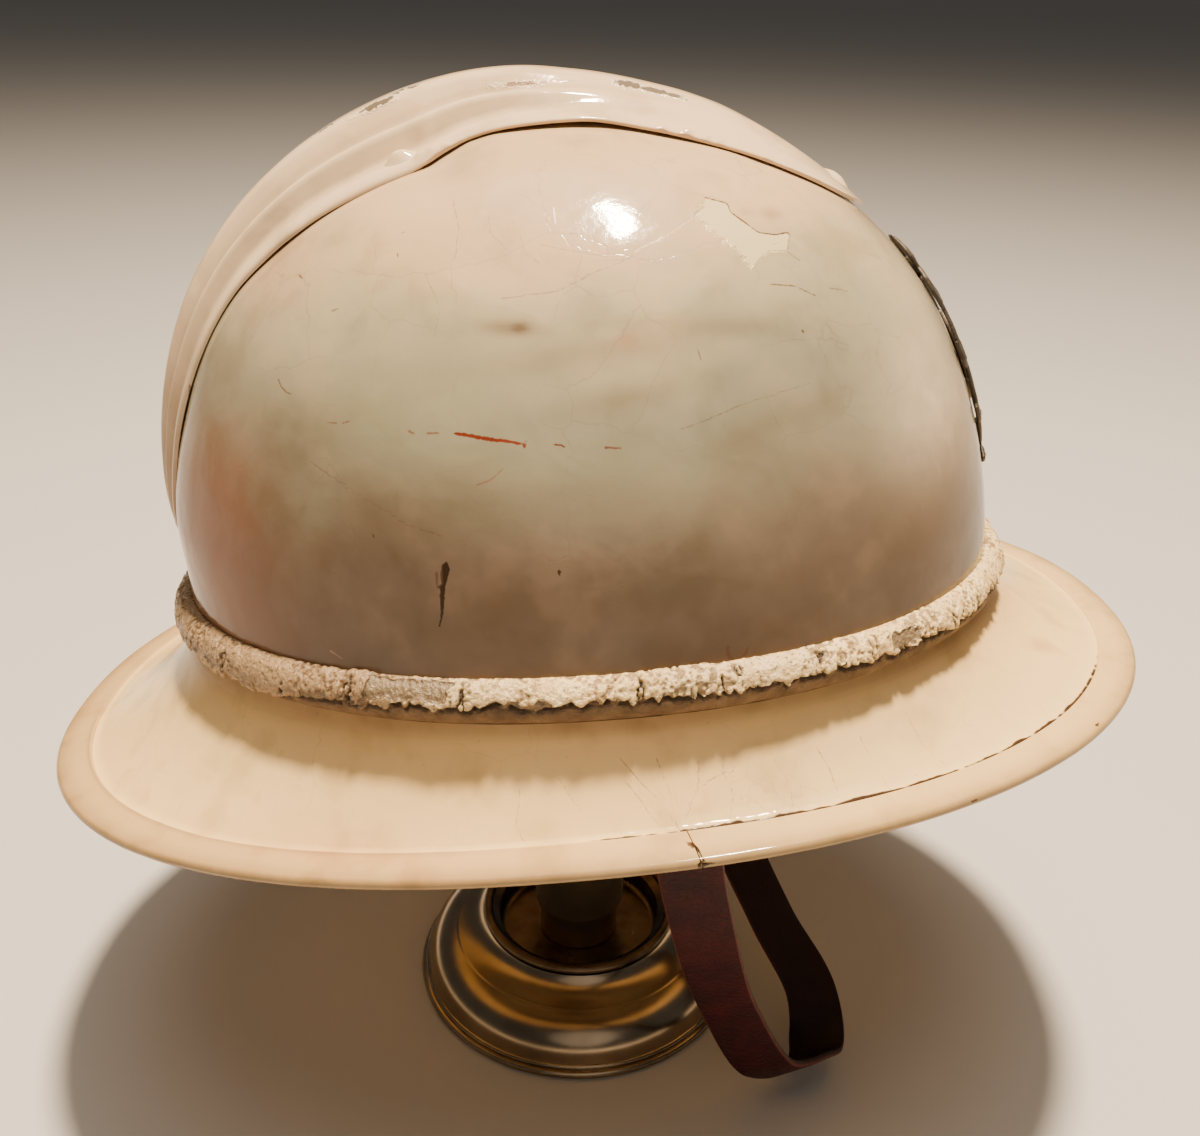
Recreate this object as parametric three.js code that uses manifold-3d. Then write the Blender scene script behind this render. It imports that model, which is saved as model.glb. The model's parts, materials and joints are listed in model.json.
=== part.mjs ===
// A steel adrian helmet on a plain brass stand.
// Millimetres, +Z up. The origin is the centre of the stand foot's flat underside, and the helmet
// faces +X, so its right side is on the -Y side. The helmet sits a little askew on the stand's rest.
import * as THREE from "three";
import { mergeVertices } from "three/addons/utils/BufferGeometryUtils.js";
import Module from "manifold-3d";

const wasm = await Module();
wasm.setup();

// ---------------------------------------------------------------- driving dimensions
const STEEL = 1; // painted sheet of the dome, the brim and the crest
const GAP = 0.3; // clearance between neighbouring pieces

// The dome: an oval in plan, rounded in profile. An exponent of 2 is an ellipse, more is squarer.
const DOME = { halfLength: 108, halfWidth: 90, height: 118, skirt: 3 };
const PLAN_EXPONENT = 2.14;
const PROFILE_EXPONENT = { front: 2.36, rear: 2.4, side: 2.2 };

// The brim's outer edge, and how it rises towards the front.
const BRIM = { halfLength: 150, halfWidth: 113.5, exponent: 2.19, centre: -1.3 };
const BRIM_DROP = { mean: 25.1, frontRise: 6.1, endRise: -1.5 };
const BRIM_START = { out: 1.4, down: 1 }; // where the plate begins, from the foot of the dome
const SEAM_X = 25; // where visor and neck guard meet, forward of the middle
const BINDING = { width: 10, fall: 1.5, leaf: 0.6, hem: 8 };

const AROUND = 46; // how many facets the dome and its welt have in plan

// The covered cord round the foot of the dome.
const WELT = { depth: 4.2, halfHeight: 4.8, centre: 4.2 };

// The hollow crest, tail first. The angle runs in the helmet's middle plane, from the front upwards.
// ridge, edge: height over the dome. ribs: how far grooves and rib are pressed in (1 is full depth).
const CREST_TABLE = [
  { angle: 172.5, halfWidth: 4, ridge: 2.3, edge: 1.6, ribs: 0 },
  { angle: 171.2, halfWidth: 9, ridge: 4.2, edge: 1.6, ribs: 0 },
  { angle: 168.5, halfWidth: 13, ridge: 6.2, edge: 1.6, ribs: 0.3 },
  { angle: 164, halfWidth: 16, ridge: 7.8, edge: 1.6, ribs: 0.8 },
  { angle: 156, halfWidth: 18.5, ridge: 9.2, edge: 1.6, ribs: 1 },
  { angle: 146, halfWidth: 20.5, ridge: 10.6, edge: 1.6, ribs: 1 },
  { angle: 134, halfWidth: 22, ridge: 12.0, edge: 1.6, ribs: 1 },
  { angle: 122, halfWidth: 23.5, ridge: 13.2, edge: 1.6, ribs: 1 },
  { angle: 111, halfWidth: 24.5, ridge: 14.5, edge: 1.6, ribs: 1 },
  { angle: 105, halfWidth: 25, ridge: 15.2, edge: 1.7, ribs: 1 },
  { angle: 102, halfWidth: 23, ridge: 15.4, edge: 2.7, ribs: 1 },
  { angle: 96, halfWidth: 22.5, ridge: 15.2, edge: 3.6, ribs: 0.9 },
  { angle: 88, halfWidth: 22.5, ridge: 13.2, edge: 4.4, ribs: 0.6 },
  { angle: 80, halfWidth: 22.5, ridge: 10.4, edge: 3.8, ribs: 0.2 },
  { angle: 72, halfWidth: 22.5, ridge: 7.8, edge: 2.6, ribs: 0 },
  { angle: 64, halfWidth: 21.5, ridge: 4.6, edge: 2.0, ribs: 0 },
  { angle: 58, halfWidth: 18, ridge: 2.9, edge: 1.9, ribs: 0 },
  { angle: 54.2, halfWidth: 12.5, ridge: 2.2, edge: 1.8, ribs: 0 },
  { angle: 52, halfWidth: 5, ridge: 1.9, edge: 1.8, ribs: 0 },
];
// Across the crest, from the middle outwards: share of the half width, and height as a share of the
// way from edge to ridge, with the ribs pressed in and without them.
const CREST_PROFILE = [
  { across: 0, ribbed: 1, plain: 1 },
  { across: 0.15, ribbed: 0.97, plain: 0.95 },
  { across: 0.28, ribbed: 0.83, plain: 0.85 },
  { across: 0.37, ribbed: 0.67, plain: 0.74 },
  { across: 0.47, ribbed: 0.64, plain: 0.61 },
  { across: 0.56, ribbed: 0.5, plain: 0.48 },
  { across: 0.66, ribbed: 0.22, plain: 0.34 },
  { across: 0.82, ribbed: 0.12, plain: 0.14 },
  { across: 1, ribbed: 0, plain: 0 },
];
const CREST_RIVETS = [
  { name: "crest_rivet_right", angle: 108.5, side: -20.8, radius: 3.6, height: 1.8 },
  { name: "crest_rivet_left", angle: 108.5, side: 20.8, radius: 3.6, height: 1.8 },
  { name: "crest_rivet_front", angle: 55.8, side: 0, radius: 4.5, height: 2 },
  { name: "crest_rivet_rear", angle: 169.5, side: 0, radius: 3, height: 1.2 },
];

// The badge: an open laurel wreath round a plain boss, cast, bent to the dome's front.
const BADGE = {
  angle: 28, thickness: 1.4, lightThickness: 1, topStandOff: 1, bottomStandOff: 0.4,
  branch: { halfWidth: 18, halfHeight: 28, width: 2.4 },
  leaf: { pairs: 5, length: 11, width: 4.8, spread: 0.55, first: 0.5, last: 2.75, foot: 2.3, opening: 4 },
  shield: { halfWidth: 9.5, halfHeight: 13, thickness: 1.9 },
  stud: { radius: 1.6, spread: 22 },
};

// The wire bails for the chin strap, inside the foot of the dome.
const BAIL = { x: 24, top: 1, width: 21, height: 9, wire: 1.2, corner: 2.5, pad: 9, clear: 1 };

// The leather strap's middle line, from the right bail to the left one. turn and rise say which way
// its width points: degrees from +X, and degrees above level.
const STRAP = { width: 16.5, thickness: 2, fold: 20 };
const STRAP_TABLE = [
  { x: 23, y: -82, z: 117, turn: -3, rise: 4 },
  { x: 30, y: -76, z: 79, turn: -7, rise: 7 },
  { x: 40, y: -67, z: 44, turn: -14, rise: 9 },
  { x: 54, y: -64, z: 18, turn: -9, rise: 19 },
  { x: 70, y: -51, z: 9, turn: 16, rise: 26 },
  { x: 64, y: -22, z: 22, turn: 16, rise: 12 },
  { x: 48, y: 12, z: 60, turn: 10, rise: 6 },
  { x: 36, y: 54, z: 104, turn: 5, rise: 3 },
];

// The stand: a turned foot with a well in its top, a dish in the well, a column and a rest.
const FOOT = { top: 21.4, well: 13.5, wellRadius: 27.6 };
// The arcs of the foot's outside, upwards: where each is centred, its reach across and up, its angles.
const FOOT_ARCS = [
  { name: "rim bead", radius: 50, height: 2.2, across: 2.2, up: 2.2, from: -90, to: 75, pieces: 3 },
  { name: "shoulder", radius: 37, height: 4.4, across: 13, up: 12, from: 0, to: 76, pieces: 4 },
  { name: "cove", radius: 42, height: 24, across: 11.8, up: 8, from: 260, to: 199, pieces: 3 },
];
const DISH = { wall: 1.3 };
const DISH_RIM = { radius: 29.8, height: 23.3, across: 1.5, up: 1.5, from: -75, to: 180, pieces: 4 };
const COLUMN = { radius: 12.5 };
const SLEEVE = { start: 27.7, wall: 1.4 };
const REST = { radius: 24, top: 263.8, crown: 4.5, thickness: 7 };

// How the helmet sits: where its own origin is, how far its front and its right side are raised.
const SEAT = { x: 1, y: -1, z: 148, frontUp: 4.45, rightUp: 4.8 };

// ---------------------------------------------------------------- materials
const paint = (color, roughness = 0.38) =>
  new THREE.MeshStandardMaterial({ color, roughness, metalness: 0 });
const metal = (color, roughness) => new THREE.MeshStandardMaterial({ color, roughness, metalness: 1 });
const cream = paint(0xd9c6a5);
const edgeCream = paint(0xd8c298);
const cordPaint = paint(0xcbbb9b, 0.8);
const castGrey = metal(0x9a948c, 0.45);
const oxblood = paint(0x3a1512, 0.6);
const brass = metal(0xa8853f, 0.28);
const steelWire = metal(0x6f6a62, 0.5);

// ---------------------------------------------------------------- meshes from rows of points
// A closed solid lofted through rings of points. Each ring is a closed outline with as many points
// as the next. The ends are closed by fans, or the loft joins up on itself.
function loft(rings, { joined = false } = {}) {
  const around = rings[0].length;
  const positions = rings.flat().flatMap((point) => [point.x, point.y, point.z]);
  const triangles = [];
  const last = joined ? rings.length : rings.length - 1;
  for (let row = 0; row < last; row += 1) {
    const next = (row + 1) % rings.length;
    for (let column = 0; column < around; column += 1) {
      const beside = (column + 1) % around;
      const [a, b] = [row * around + column, row * around + beside];
      const [c, d] = [next * around + beside, next * around + column];
      triangles.push(a, b, c, a, c, d);
    }
  }
  if (!joined) {
    closeEnd(positions, triangles, rings[0], 0, true);
    closeEnd(positions, triangles, rings[rings.length - 1], (rings.length - 1) * around, false);
  }
  return outward(positions, triangles);
}

// Closes one end of a loft: the ring is a flat outline, cut into triangles in its own plane.
function closeEnd(positions, triangles, ring, first, reversed) {
  const normal = new THREE.Vector3();
  ring.forEach((point, index) => {
    normal.add(new THREE.Vector3().crossVectors(point, ring[(index + 1) % ring.length]));
  });
  normal.normalize();
  const along = new THREE.Vector3(1, 0, 0);
  if (Math.abs(normal.x) > 0.8) along.set(0, 1, 0);
  along.cross(normal).normalize();
  const across = new THREE.Vector3().crossVectors(normal, along);
  const flat = ring.map((point) => new THREE.Vector2(point.dot(along), point.dot(across)));
  for (const [a, b, c] of THREE.ShapeUtils.triangulateShape(flat, [])) {
    if (reversed) triangles.push(first + a, first + c, first + b);
    else triangles.push(first + a, first + b, first + c);
  }
}

// A geometry whose faces point out, whichever way round its triangles were given.
function outward(positions, triangles) {
  let volume = 0;
  const corner = (index) => new THREE.Vector3().fromArray(positions, index * 3);
  for (let i = 0; i < triangles.length; i += 3) {
    const [a, b, c] = [corner(triangles[i]), corner(triangles[i + 1]), corner(triangles[i + 2])];
    volume += a.dot(b.cross(c));
  }
  if (volume < 0) triangles.reverse();
  const geometry = new THREE.BufferGeometry();
  geometry.setAttribute("position", new THREE.Float32BufferAttribute(positions, 3));
  geometry.setIndex(triangles);
  return geometry;
}

// The solid of a geometry, for joining and cutting.
function toSolid(geometry) {
  const plain = geometry.clone();
  plain.deleteAttribute("normal");
  plain.deleteAttribute("uv");
  const merged = mergeVertices(plain, 1e-4);
  const vertProperties = new Float32Array(merged.attributes.position.array);
  const triVerts = new Uint32Array(merged.index.array);
  return new wasm.Manifold(new wasm.Mesh({ numProp: 3, vertProperties, triVerts }));
}

function toGeometry(solid) {
  const mesh = solid.getMesh();
  const geometry = new THREE.BufferGeometry();
  geometry.setAttribute("position", new THREE.BufferAttribute(new Float32Array(mesh.vertProperties), 3));
  geometry.setIndex(new THREE.BufferAttribute(new Uint32Array(mesh.triVerts), 1));
  return geometry;
}

function node(name, geometry, material) {
  const mesh = new THREE.Mesh(geometry, material);
  mesh.name = name;
  return mesh;
}

const radians = THREE.MathUtils.degToRad;
const steps = (count) => Array.from({ length: count + 1 }, (_, index) => index / count);
const mix = THREE.MathUtils.lerp;
const turnRound = 2 * Math.PI;

// ---------------------------------------------------------------- the helmet's surfaces
const power = (value, exponent) => Math.sign(value) * Math.abs(value) ** exponent;

// A point of an oval outline.
function oval(angle, halfLength, halfWidth, exponent) {
  const x = halfLength * power(Math.cos(angle), 2 / exponent);
  return new THREE.Vector2(x, halfWidth * power(Math.sin(angle), 2 / exponent));
}

// Where a ray from the helmet's origin leaves the dome, grown outwards by offset.
function domePoint(direction, offset = 0) {
  const halfLength = DOME.halfLength + offset;
  const halfWidth = DOME.halfWidth + offset;
  const across = Math.abs(direction.y / halfWidth);
  const along = Math.abs(direction.x / halfLength);
  const plan = (along ** PLAN_EXPONENT + across ** PLAN_EXPONENT) ** (1 / PLAN_EXPONENT);
  const sideways = across ** 2 / (across ** 2 + along ** 2 + 1e-12);
  const lengthways = direction.x > 0 ? PROFILE_EXPONENT.front : PROFILE_EXPONENT.rear;
  const exponent = mix(lengthways, PROFILE_EXPONENT.side, sideways);
  const rise = Math.abs(direction.z / (DOME.height + offset));
  return direction.clone().multiplyScalar((plan ** exponent + rise ** exponent) ** (-1 / exponent));
}

// The same, for an angle in the middle plane and a distance to the side, with its outward normal.
function overDome(angle, side, height) {
  const middle = new THREE.Vector3(Math.cos(angle), 0, Math.sin(angle));
  const reach = domePoint(middle).length();
  const direction = middle.clone().setY(Math.tan(side / reach));
  const point = domePoint(direction);
  const tilt = 0.01;
  const ahead = domePoint(new THREE.Vector3(Math.cos(angle + tilt), direction.y, Math.sin(angle + tilt)));
  const beside = domePoint(middle.clone().setY(direction.y + tilt));
  const normal = new THREE.Vector3().crossVectors(beside.sub(point), ahead.sub(point)).normalize();
  if (normal.dot(point) < 0) normal.negate();
  return { point: point.addScaledVector(normal, height), normal };
}

// ---------------------------------------------------------------- dome
// An upright oval shell, open below: the inner face from the crown down, the rim, the outer face up.
function makeDome() {
  const around = steps(AROUND).slice(0, AROUND).map((share) => share * turnRound);
  const level = (height, offset) => around.map((angle) => {
    const flat = oval(angle, DOME.halfLength + offset, DOME.halfWidth + offset, PLAN_EXPONENT);
    return new THREE.Vector3(flat.x, flat.y, height);
  });
  const row = (rise, offset) => around.map((angle) => {
    const flat = oval(angle, DOME.halfLength, DOME.halfWidth, PLAN_EXPONENT).multiplyScalar(Math.cos(rise));
    return domePoint(new THREE.Vector3(flat.x, flat.y, DOME.height * Math.sin(rise)), offset);
  });
  const crown = Math.PI / 2 - 0.01;
  const rises = (count) => steps(count).slice(1).map((share) => share * crown);
  return loft([
    ...rises(9).reverse().map((rise) => row(rise, -STEEL)),
    level(-DOME.skirt, -STEEL),
    level(-DOME.skirt, 0),
    level(0, 0),
    ...rises(12).map((rise) => row(rise, 0)),
  ]);
}

// ---------------------------------------------------------------- brim
// The brim's section at one angle of the plan: from the dome's foot a, down the flare to the fold b,
// then along the binding to the edge c. All are on the upper face.
function brimSection(angle) {
  const foot = oval(angle, DOME.halfLength + GAP, DOME.halfWidth + GAP, PLAN_EXPONENT);
  const edge = oval(angle, BRIM.halfLength, BRIM.halfWidth, BRIM.exponent);
  edge.x += BRIM.centre;
  const outwardStep = edge.clone().sub(foot).normalize();
  const rise = BRIM_DROP.frontRise * Math.cos(angle) + BRIM_DROP.endRise * Math.cos(2 * angle);
  const edgeHeight = rise - BRIM_DROP.mean;
  const reach = edge.distanceTo(foot);
  const fold = { out: reach - BINDING.width, up: edgeHeight + BINDING.fall };
  const at = (out, up) => new THREE.Vector3(foot.x + outwardStep.x * out, foot.y + outwardStep.y * out, up);
  return { at, fold, edge: { out: reach, up: edgeHeight } };
}

// A strip of outline given as { out, up } pairs, moved square to itself by distance, to its left.
function moved(line, distance) {
  return line.map((point, index) => {
    const before = line[Math.max(index - 1, 0)];
    const after = line[Math.min(index + 1, line.length - 1)];
    const length = Math.hypot(after.out - before.out, after.up - before.up);
    return {
      out: point.out - ((after.up - before.up) / length) * distance,
      up: point.up + ((after.out - before.out) / length) * distance,
    };
  });
}

// The plate's upper face: a flare that starts steep and flattens, then runs on under the binding.
function plateLine({ fold, edge }) {
  const start = { out: BRIM_START.out, up: -BRIM_START.down };
  const sink = BINDING.leaf + GAP;
  const end = { out: fold.out, up: fold.up - sink };
  const bend = { out: mix(start.out, end.out, 0.3), up: mix(start.up, end.up, 0.62) };
  const flare = steps(4).map((share) => ({
    out: mix(mix(start.out, bend.out, share), mix(bend.out, end.out, share), share),
    up: mix(mix(start.up, bend.up, share), mix(bend.up, end.up, share), share),
  }));
  const tuck = BINDING.hem / BINDING.width;
  flare.push({ out: mix(end.out, edge.out, tuck), up: mix(end.up, edge.up - sink, tuck) });
  return flare;
}

function makePlate(from, to, count) {
  return loft(steps(count).map((share) => {
    const section = brimSection(mix(from, to, share));
    const top = plateLine(section);
    const under = moved(top, -STEEL).reverse();
    return [...top, ...under].map(({ out, up }) => section.at(out, up));
  }));
}

// The binding is folded over the plate's edge: a thin leaf above, a round fold, a leaf below.
function makeBinding(from, to, count) {
  const slot = STEEL + 2 * GAP;
  const thickness = slot + 2 * BINDING.leaf;
  const turn = thickness / 2;
  return loft(steps(count).map((share) => {
    const { at, fold, edge } = brimSection(mix(from, to, share));
    const length = Math.hypot(edge.out - fold.out, edge.up - fold.up);
    const run = { out: (edge.out - fold.out) / length, up: (edge.up - fold.up) / length };
    const place = (forward, down) => at(
      fold.out + run.out * forward + run.up * down,
      fold.up + run.up * forward - run.out * down,
    );
    const round = steps(3).map((part) => {
      const swing = part * Math.PI;
      return place(length - turn + turn * Math.sin(swing), turn - turn * Math.cos(swing));
    });
    const innerEnd = length - BINDING.leaf;
    return [
      place(GAP, BINDING.leaf * 0.35),
      place(GAP + 1, 0),
      ...round,
      place(2, thickness),
      place(2, thickness - BINDING.leaf),
      place(innerEnd, thickness - BINDING.leaf),
      place(innerEnd, BINDING.leaf),
      place(GAP, BINDING.leaf),
    ];
  }));
}

// The plan angle where the brim's edge crosses the seam line, shifted a hair to leave the joint open.
function seamAngle(shift) {
  let low = 0;
  let high = Math.PI / 2;
  for (let halving = 0; halving < 40; halving += 1) {
    const middle = (low + high) / 2;
    const edge = oval(middle, BRIM.halfLength, BRIM.halfWidth, BRIM.exponent);
    if (edge.x + BRIM.centre > SEAM_X) low = middle;
    else high = middle;
  }
  return low + shift / BRIM.halfLength;
}

// ---------------------------------------------------------------- welt
function makeWelt() {
  const sides = 7;
  const rings = steps(AROUND).slice(0, AROUND).map((share) => {
    const angle = share * turnRound;
    return steps(sides).map((part) => {
      const swing = (part - 0.5) * Math.PI;
      const out = GAP + WELT.depth * Math.cos(swing);
      const flat = oval(angle, DOME.halfLength + out, DOME.halfWidth + out, PLAN_EXPONENT);
      return new THREE.Vector3(flat.x, flat.y, WELT.centre + WELT.halfHeight * Math.sin(swing));
    });
  });
  return loft(rings, { joined: true });
}

// ---------------------------------------------------------------- crest
// One row of the table, at any angle: a straight mix of the two rows beside it.
function crestAt(angle) {
  const index = CREST_TABLE.findIndex((row) => row.angle <= angle);
  if (index <= 0) return index === 0 ? CREST_TABLE[0] : CREST_TABLE[CREST_TABLE.length - 1];
  const [before, after] = [CREST_TABLE[index - 1], CREST_TABLE[index]];
  const share = (before.angle - angle) / (before.angle - after.angle);
  const between = (column) => [column, mix(before[column], after[column], share)];
  return Object.fromEntries(Object.keys(before).map(between));
}

// How high the crest's outer face stands over the dome, across its width.
function crestHeight(row, profile) {
  const rise = mix(profile.plain, profile.ribbed, row.ribs);
  return row.edge + (row.ridge - row.edge) * rise;
}

function makeCrest() {
  const bothSides = [
    ...CREST_PROFILE.slice(1).reverse().map((profile) => ({ ...profile, side: -1 })),
    ...CREST_PROFILE.map((profile) => ({ ...profile, side: 1 })),
  ];
  const angles = CREST_TABLE.flatMap((row, index) => {
    const next = CREST_TABLE[index + 1];
    if (!next || row.angle - next.angle < 9) return [row.angle];
    return [row.angle, (row.angle + next.angle) / 2];
  });
  return loft(angles.map((degrees) => {
    const row = crestAt(degrees);
    const place = (profile, height) =>
      overDome(radians(degrees), profile.side * profile.across * row.halfWidth, height).point;
    const upper = bothSides.map((profile) => place(profile, crestHeight(row, profile)));
    const lower = bothSides.filter((_, index) => index % 2 === 0).map((profile) =>
      place(profile, Math.max(crestHeight(row, profile) - STEEL, GAP)));
    return [...upper, ...lower.reverse()];
  }));
}

// A point of the crest's outer face.
function onCrest(degrees, side) {
  const row = crestAt(degrees);
  const across = Math.abs(side) / row.halfWidth;
  const index = Math.max(CREST_PROFILE.findIndex((profile) => profile.across >= across), 1);
  const [inner, outer] = [CREST_PROFILE[index - 1], CREST_PROFILE[index]];
  const share = (across - inner.across) / (outer.across - inner.across);
  const height = mix(crestHeight(row, inner), crestHeight(row, outer), share);
  return overDome(radians(degrees), side, height).point;
}

// A low domed rivet head, seated square on the crest and cut to fit it.
function makeRivet({ name, angle, side, radius, height }, crest) {
  const point = onCrest(angle, side);
  const along = onCrest(angle + 1.5, side).sub(onCrest(angle - 1.5, side));
  const across = onCrest(angle, side + radius / 2).sub(onCrest(angle, side - radius / 2));
  const normal = new THREE.Vector3().crossVectors(along, across).normalize();
  if (normal.dot(point) < 0) normal.negate();
  const sunk = 0.3;
  const profile = [new THREE.Vector2(0, -sunk), new THREE.Vector2(radius, -sunk)];
  for (const part of steps(3)) {
    const swing = (part * Math.PI) / 2;
    profile.push(new THREE.Vector2(radius * Math.cos(swing), height * (0.2 + 0.8 * Math.sin(swing))));
  }
  profile[profile.length - 1].x = 0;
  const head = new THREE.LatheGeometry(profile, 10);
  head.applyQuaternion(new THREE.Quaternion().setFromUnitVectors(new THREE.Vector3(0, 1, 0), normal));
  head.translate(point.x, point.y, point.z);
  const clear = toSolid(crest).translate(normal.clone().multiplyScalar(GAP).toArray());
  return node(name, toGeometry(toSolid(head).subtract(clear)), cream);
}

// ---------------------------------------------------------------- badge
// A flat piece of the badge, from its outline as [across, up] pairs.
function plaque(outline, thickness = BADGE.thickness) {
  const shape = new THREE.Shape(outline.map(([across, up]) => new THREE.Vector2(across, up)));
  return toSolid(new THREE.ExtrudeGeometry(shape, { depth: thickness, bevelEnabled: false }));
}

function plaqueBar(left, right, bottom, top) {
  return plaque([[left, bottom], [right, bottom], [right, top], [left, top]], BADGE.lightThickness);
}

function ringOutline(halfWidth, halfHeight) {
  const count = 26;
  return steps(count).slice(0, count).map((share) => [
    halfWidth * Math.cos(share * turnRound),
    halfHeight * Math.sin(share * turnRound),
  ]);
}

// A pointed leaf that grows from a root, turned from straight up.
function leafPiece(across, up, length, width, turn) {
  const edge = steps(4).map((share) => [(width / 2) * Math.sin(share * Math.PI) ** 0.8, share * length]);
  const back = edge.slice(1, 4).reverse().map(([out, along]) => [-out, along]);
  return plaque([...edge, ...back].map(([out, along]) => [
    across + out * Math.cos(turn) - along * Math.sin(turn),
    up + out * Math.sin(turn) + along * Math.cos(turn),
  ]));
}

function flatBadge() {
  const { branch, leaf, shield, stud } = BADGE;
  const half = branch.width / 2;
  const hole = toSolid(new THREE.CylinderGeometry(1, 1, 9, 26).rotateX(Math.PI / 2));
  const opening = new THREE.BoxGeometry(2 * leaf.opening, branch.halfHeight, 9);
  opening.translate(0, branch.halfHeight, 0);
  let whole = plaque(ringOutline(branch.halfWidth + half, branch.halfHeight + half))
    .subtract(hole.scale([branch.halfWidth - half, branch.halfHeight - half, 1]))
    .subtract(toSolid(opening));
  whole = whole.add(plaque(ringOutline(shield.halfWidth, shield.halfHeight), shield.thickness));
  whole = whole.add(plaqueBar(-branch.halfWidth, branch.halfWidth, -half, half));
  whole = whole.add(plaqueBar(-half, half, -branch.halfHeight, stud.spread + half));
  for (const side of [-1, 1]) {
    for (const share of steps(leaf.pairs - 1)) {
      const swing = mix(leaf.first, leaf.last, share);
      const across = side * branch.halfWidth * Math.sin(swing);
      const up = -branch.halfHeight * Math.cos(swing);
      const [stepAcross, stepUp] = [branch.halfWidth * Math.cos(swing), branch.halfHeight * Math.sin(swing)];
      const heading = -side * Math.atan2(stepAcross, stepUp);
      whole = whole.add(leafPiece(across, up, leaf.length, leaf.width, heading - leaf.spread));
      whole = whole.add(leafPiece(across, up, leaf.length, leaf.width, heading + leaf.spread));
    }
    whole = whole.add(leafPiece(0, half - branch.halfHeight, leaf.length, leaf.width, side * leaf.foot));
    const post = new THREE.CylinderGeometry(stud.radius, stud.radius, 3, 8).rotateX(Math.PI / 2);
    whole = whole.add(toSolid(post.translate(0, side * stud.spread, -0.5)));
  }
  return toGeometry(whole);
}

// The badge bent to the dome: it stands off further at the top, and its studs end just over the dome.
function makeBadge() {
  const badge = flatBadge();
  const spot = badge.attributes.position;
  const middle = radians(BADGE.angle);
  const reach = domePoint(new THREE.Vector3(Math.cos(middle), 0, Math.sin(middle))).length();
  const top = BADGE.branch.halfHeight;
  for (let index = 0; index < spot.count; index += 1) {
    const up = spot.getY(index);
    const depth = spot.getZ(index);
    const standOff = mix(BADGE.bottomStandOff, BADGE.topStandOff, (up + top) / (2 * top));
    const height = depth < 0 ? GAP : standOff + depth;
    const { point } = overDome(middle + up / reach, spot.getX(index), height);
    spot.setXYZ(index, point.x, point.y, point.z);
  }
  return badge;
}

// ---------------------------------------------------------------- bails and chin strap
// Where a bail hangs, in the helmet's frame: a point of the dome's inner wall, and the wall's turn there.
function bailSeat(side) {
  const halfLength = DOME.halfLength - STEEL;
  const halfWidth = DOME.halfWidth - STEEL;
  const along = BAIL.x / halfLength;
  const y = halfWidth * (1 - along ** PLAN_EXPONENT) ** (1 / PLAN_EXPONENT);
  const slope = (halfWidth / halfLength) * (along / (y / halfWidth)) ** (PLAN_EXPONENT - 1);
  return { position: new THREE.Vector3(BAIL.x, side * y, 0), turn: -side * Math.atan(slope) };
}

// How far the bail's wire stands in from the wall.
const BAIL_INSET = BAIL.clear + BAIL.wire;

// A rounded rectangle of wire, joined to a pad on the wall. Local x runs along the wall.
function makeBail(side) {
  const inset = -side * BAIL_INSET;
  const rings = [[1, 1], [-1, 1], [-1, -1], [1, -1]].flatMap(([cornerX, cornerZ], quarter) =>
    steps(2).map((part) => {
      const swing = ((quarter + part) * Math.PI) / 2;
      const along = new THREE.Vector3(Math.cos(swing), 0, Math.sin(swing));
      const x = cornerX * (BAIL.width / 2 - BAIL.corner);
      const z = BAIL.top - BAIL.height / 2 + cornerZ * (BAIL.height / 2 - BAIL.corner);
      const middle = new THREE.Vector3(x, inset, z).addScaledVector(along, BAIL.corner);
      return steps(6).slice(0, 6).map((spin) => middle.clone()
        .addScaledVector(along, BAIL.wire * Math.cos(spin * turnRound))
        .add(new THREE.Vector3(0, BAIL.wire * Math.sin(spin * turnRound), 0)));
    }));
  const pad = new THREE.BoxGeometry(BAIL.pad, 2 * BAIL.wire, BAIL.pad);
  pad.translate(0, inset, BAIL.top + BAIL.pad / 2 - 1.5);
  const bail = toGeometry(toSolid(loft(rings, { joined: true })).add(toSolid(pad)));
  const seat = bailSeat(side);
  return bail.rotateZ(seat.turn).translate(seat.position.x, seat.position.y, seat.position.z);
}

// The helmet's place in the world: it leans on the rest, front up and right side up.
const seatTurn = new THREE.Euler(-radians(SEAT.rightUp), -radians(SEAT.frontUp), 0, "YXZ");
const seatPlace = new THREE.Vector3(SEAT.x, SEAT.y, SEAT.z);

// The turn of the strap round a bail's lower bar, from the free end of its fold to the long run.
function strapWrap(side) {
  const seat = bailSeat(side);
  const bar = new THREE.Vector3(0, -side * BAIL_INSET, BAIL.top - BAIL.height);
  const wrap = BAIL.wire + 2 * GAP + STRAP.thickness / 2;
  const turnOver = steps(6).map((part) => {
    const swing = Math.PI * part;
    return new THREE.Vector3(0, side * wrap * Math.cos(swing), wrap * Math.sin(swing)).add(bar);
  });
  const fold = [1, 0.5].map((share) => new THREE.Vector3(0, side * wrap, -STRAP.fold * share).add(bar));
  const place = (point) => point.applyAxisAngle(new THREE.Vector3(0, 0, 1), seat.turn)
    .add(seat.position).applyEuler(seatTurn).add(seatPlace);
  const width = new THREE.Vector3(Math.cos(seat.turn), Math.sin(seat.turn), 0).applyEuler(seatTurn);
  return [...fold, ...turnOver].map((point) => ({ point: place(point), width: width.clone() }));
}

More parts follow.
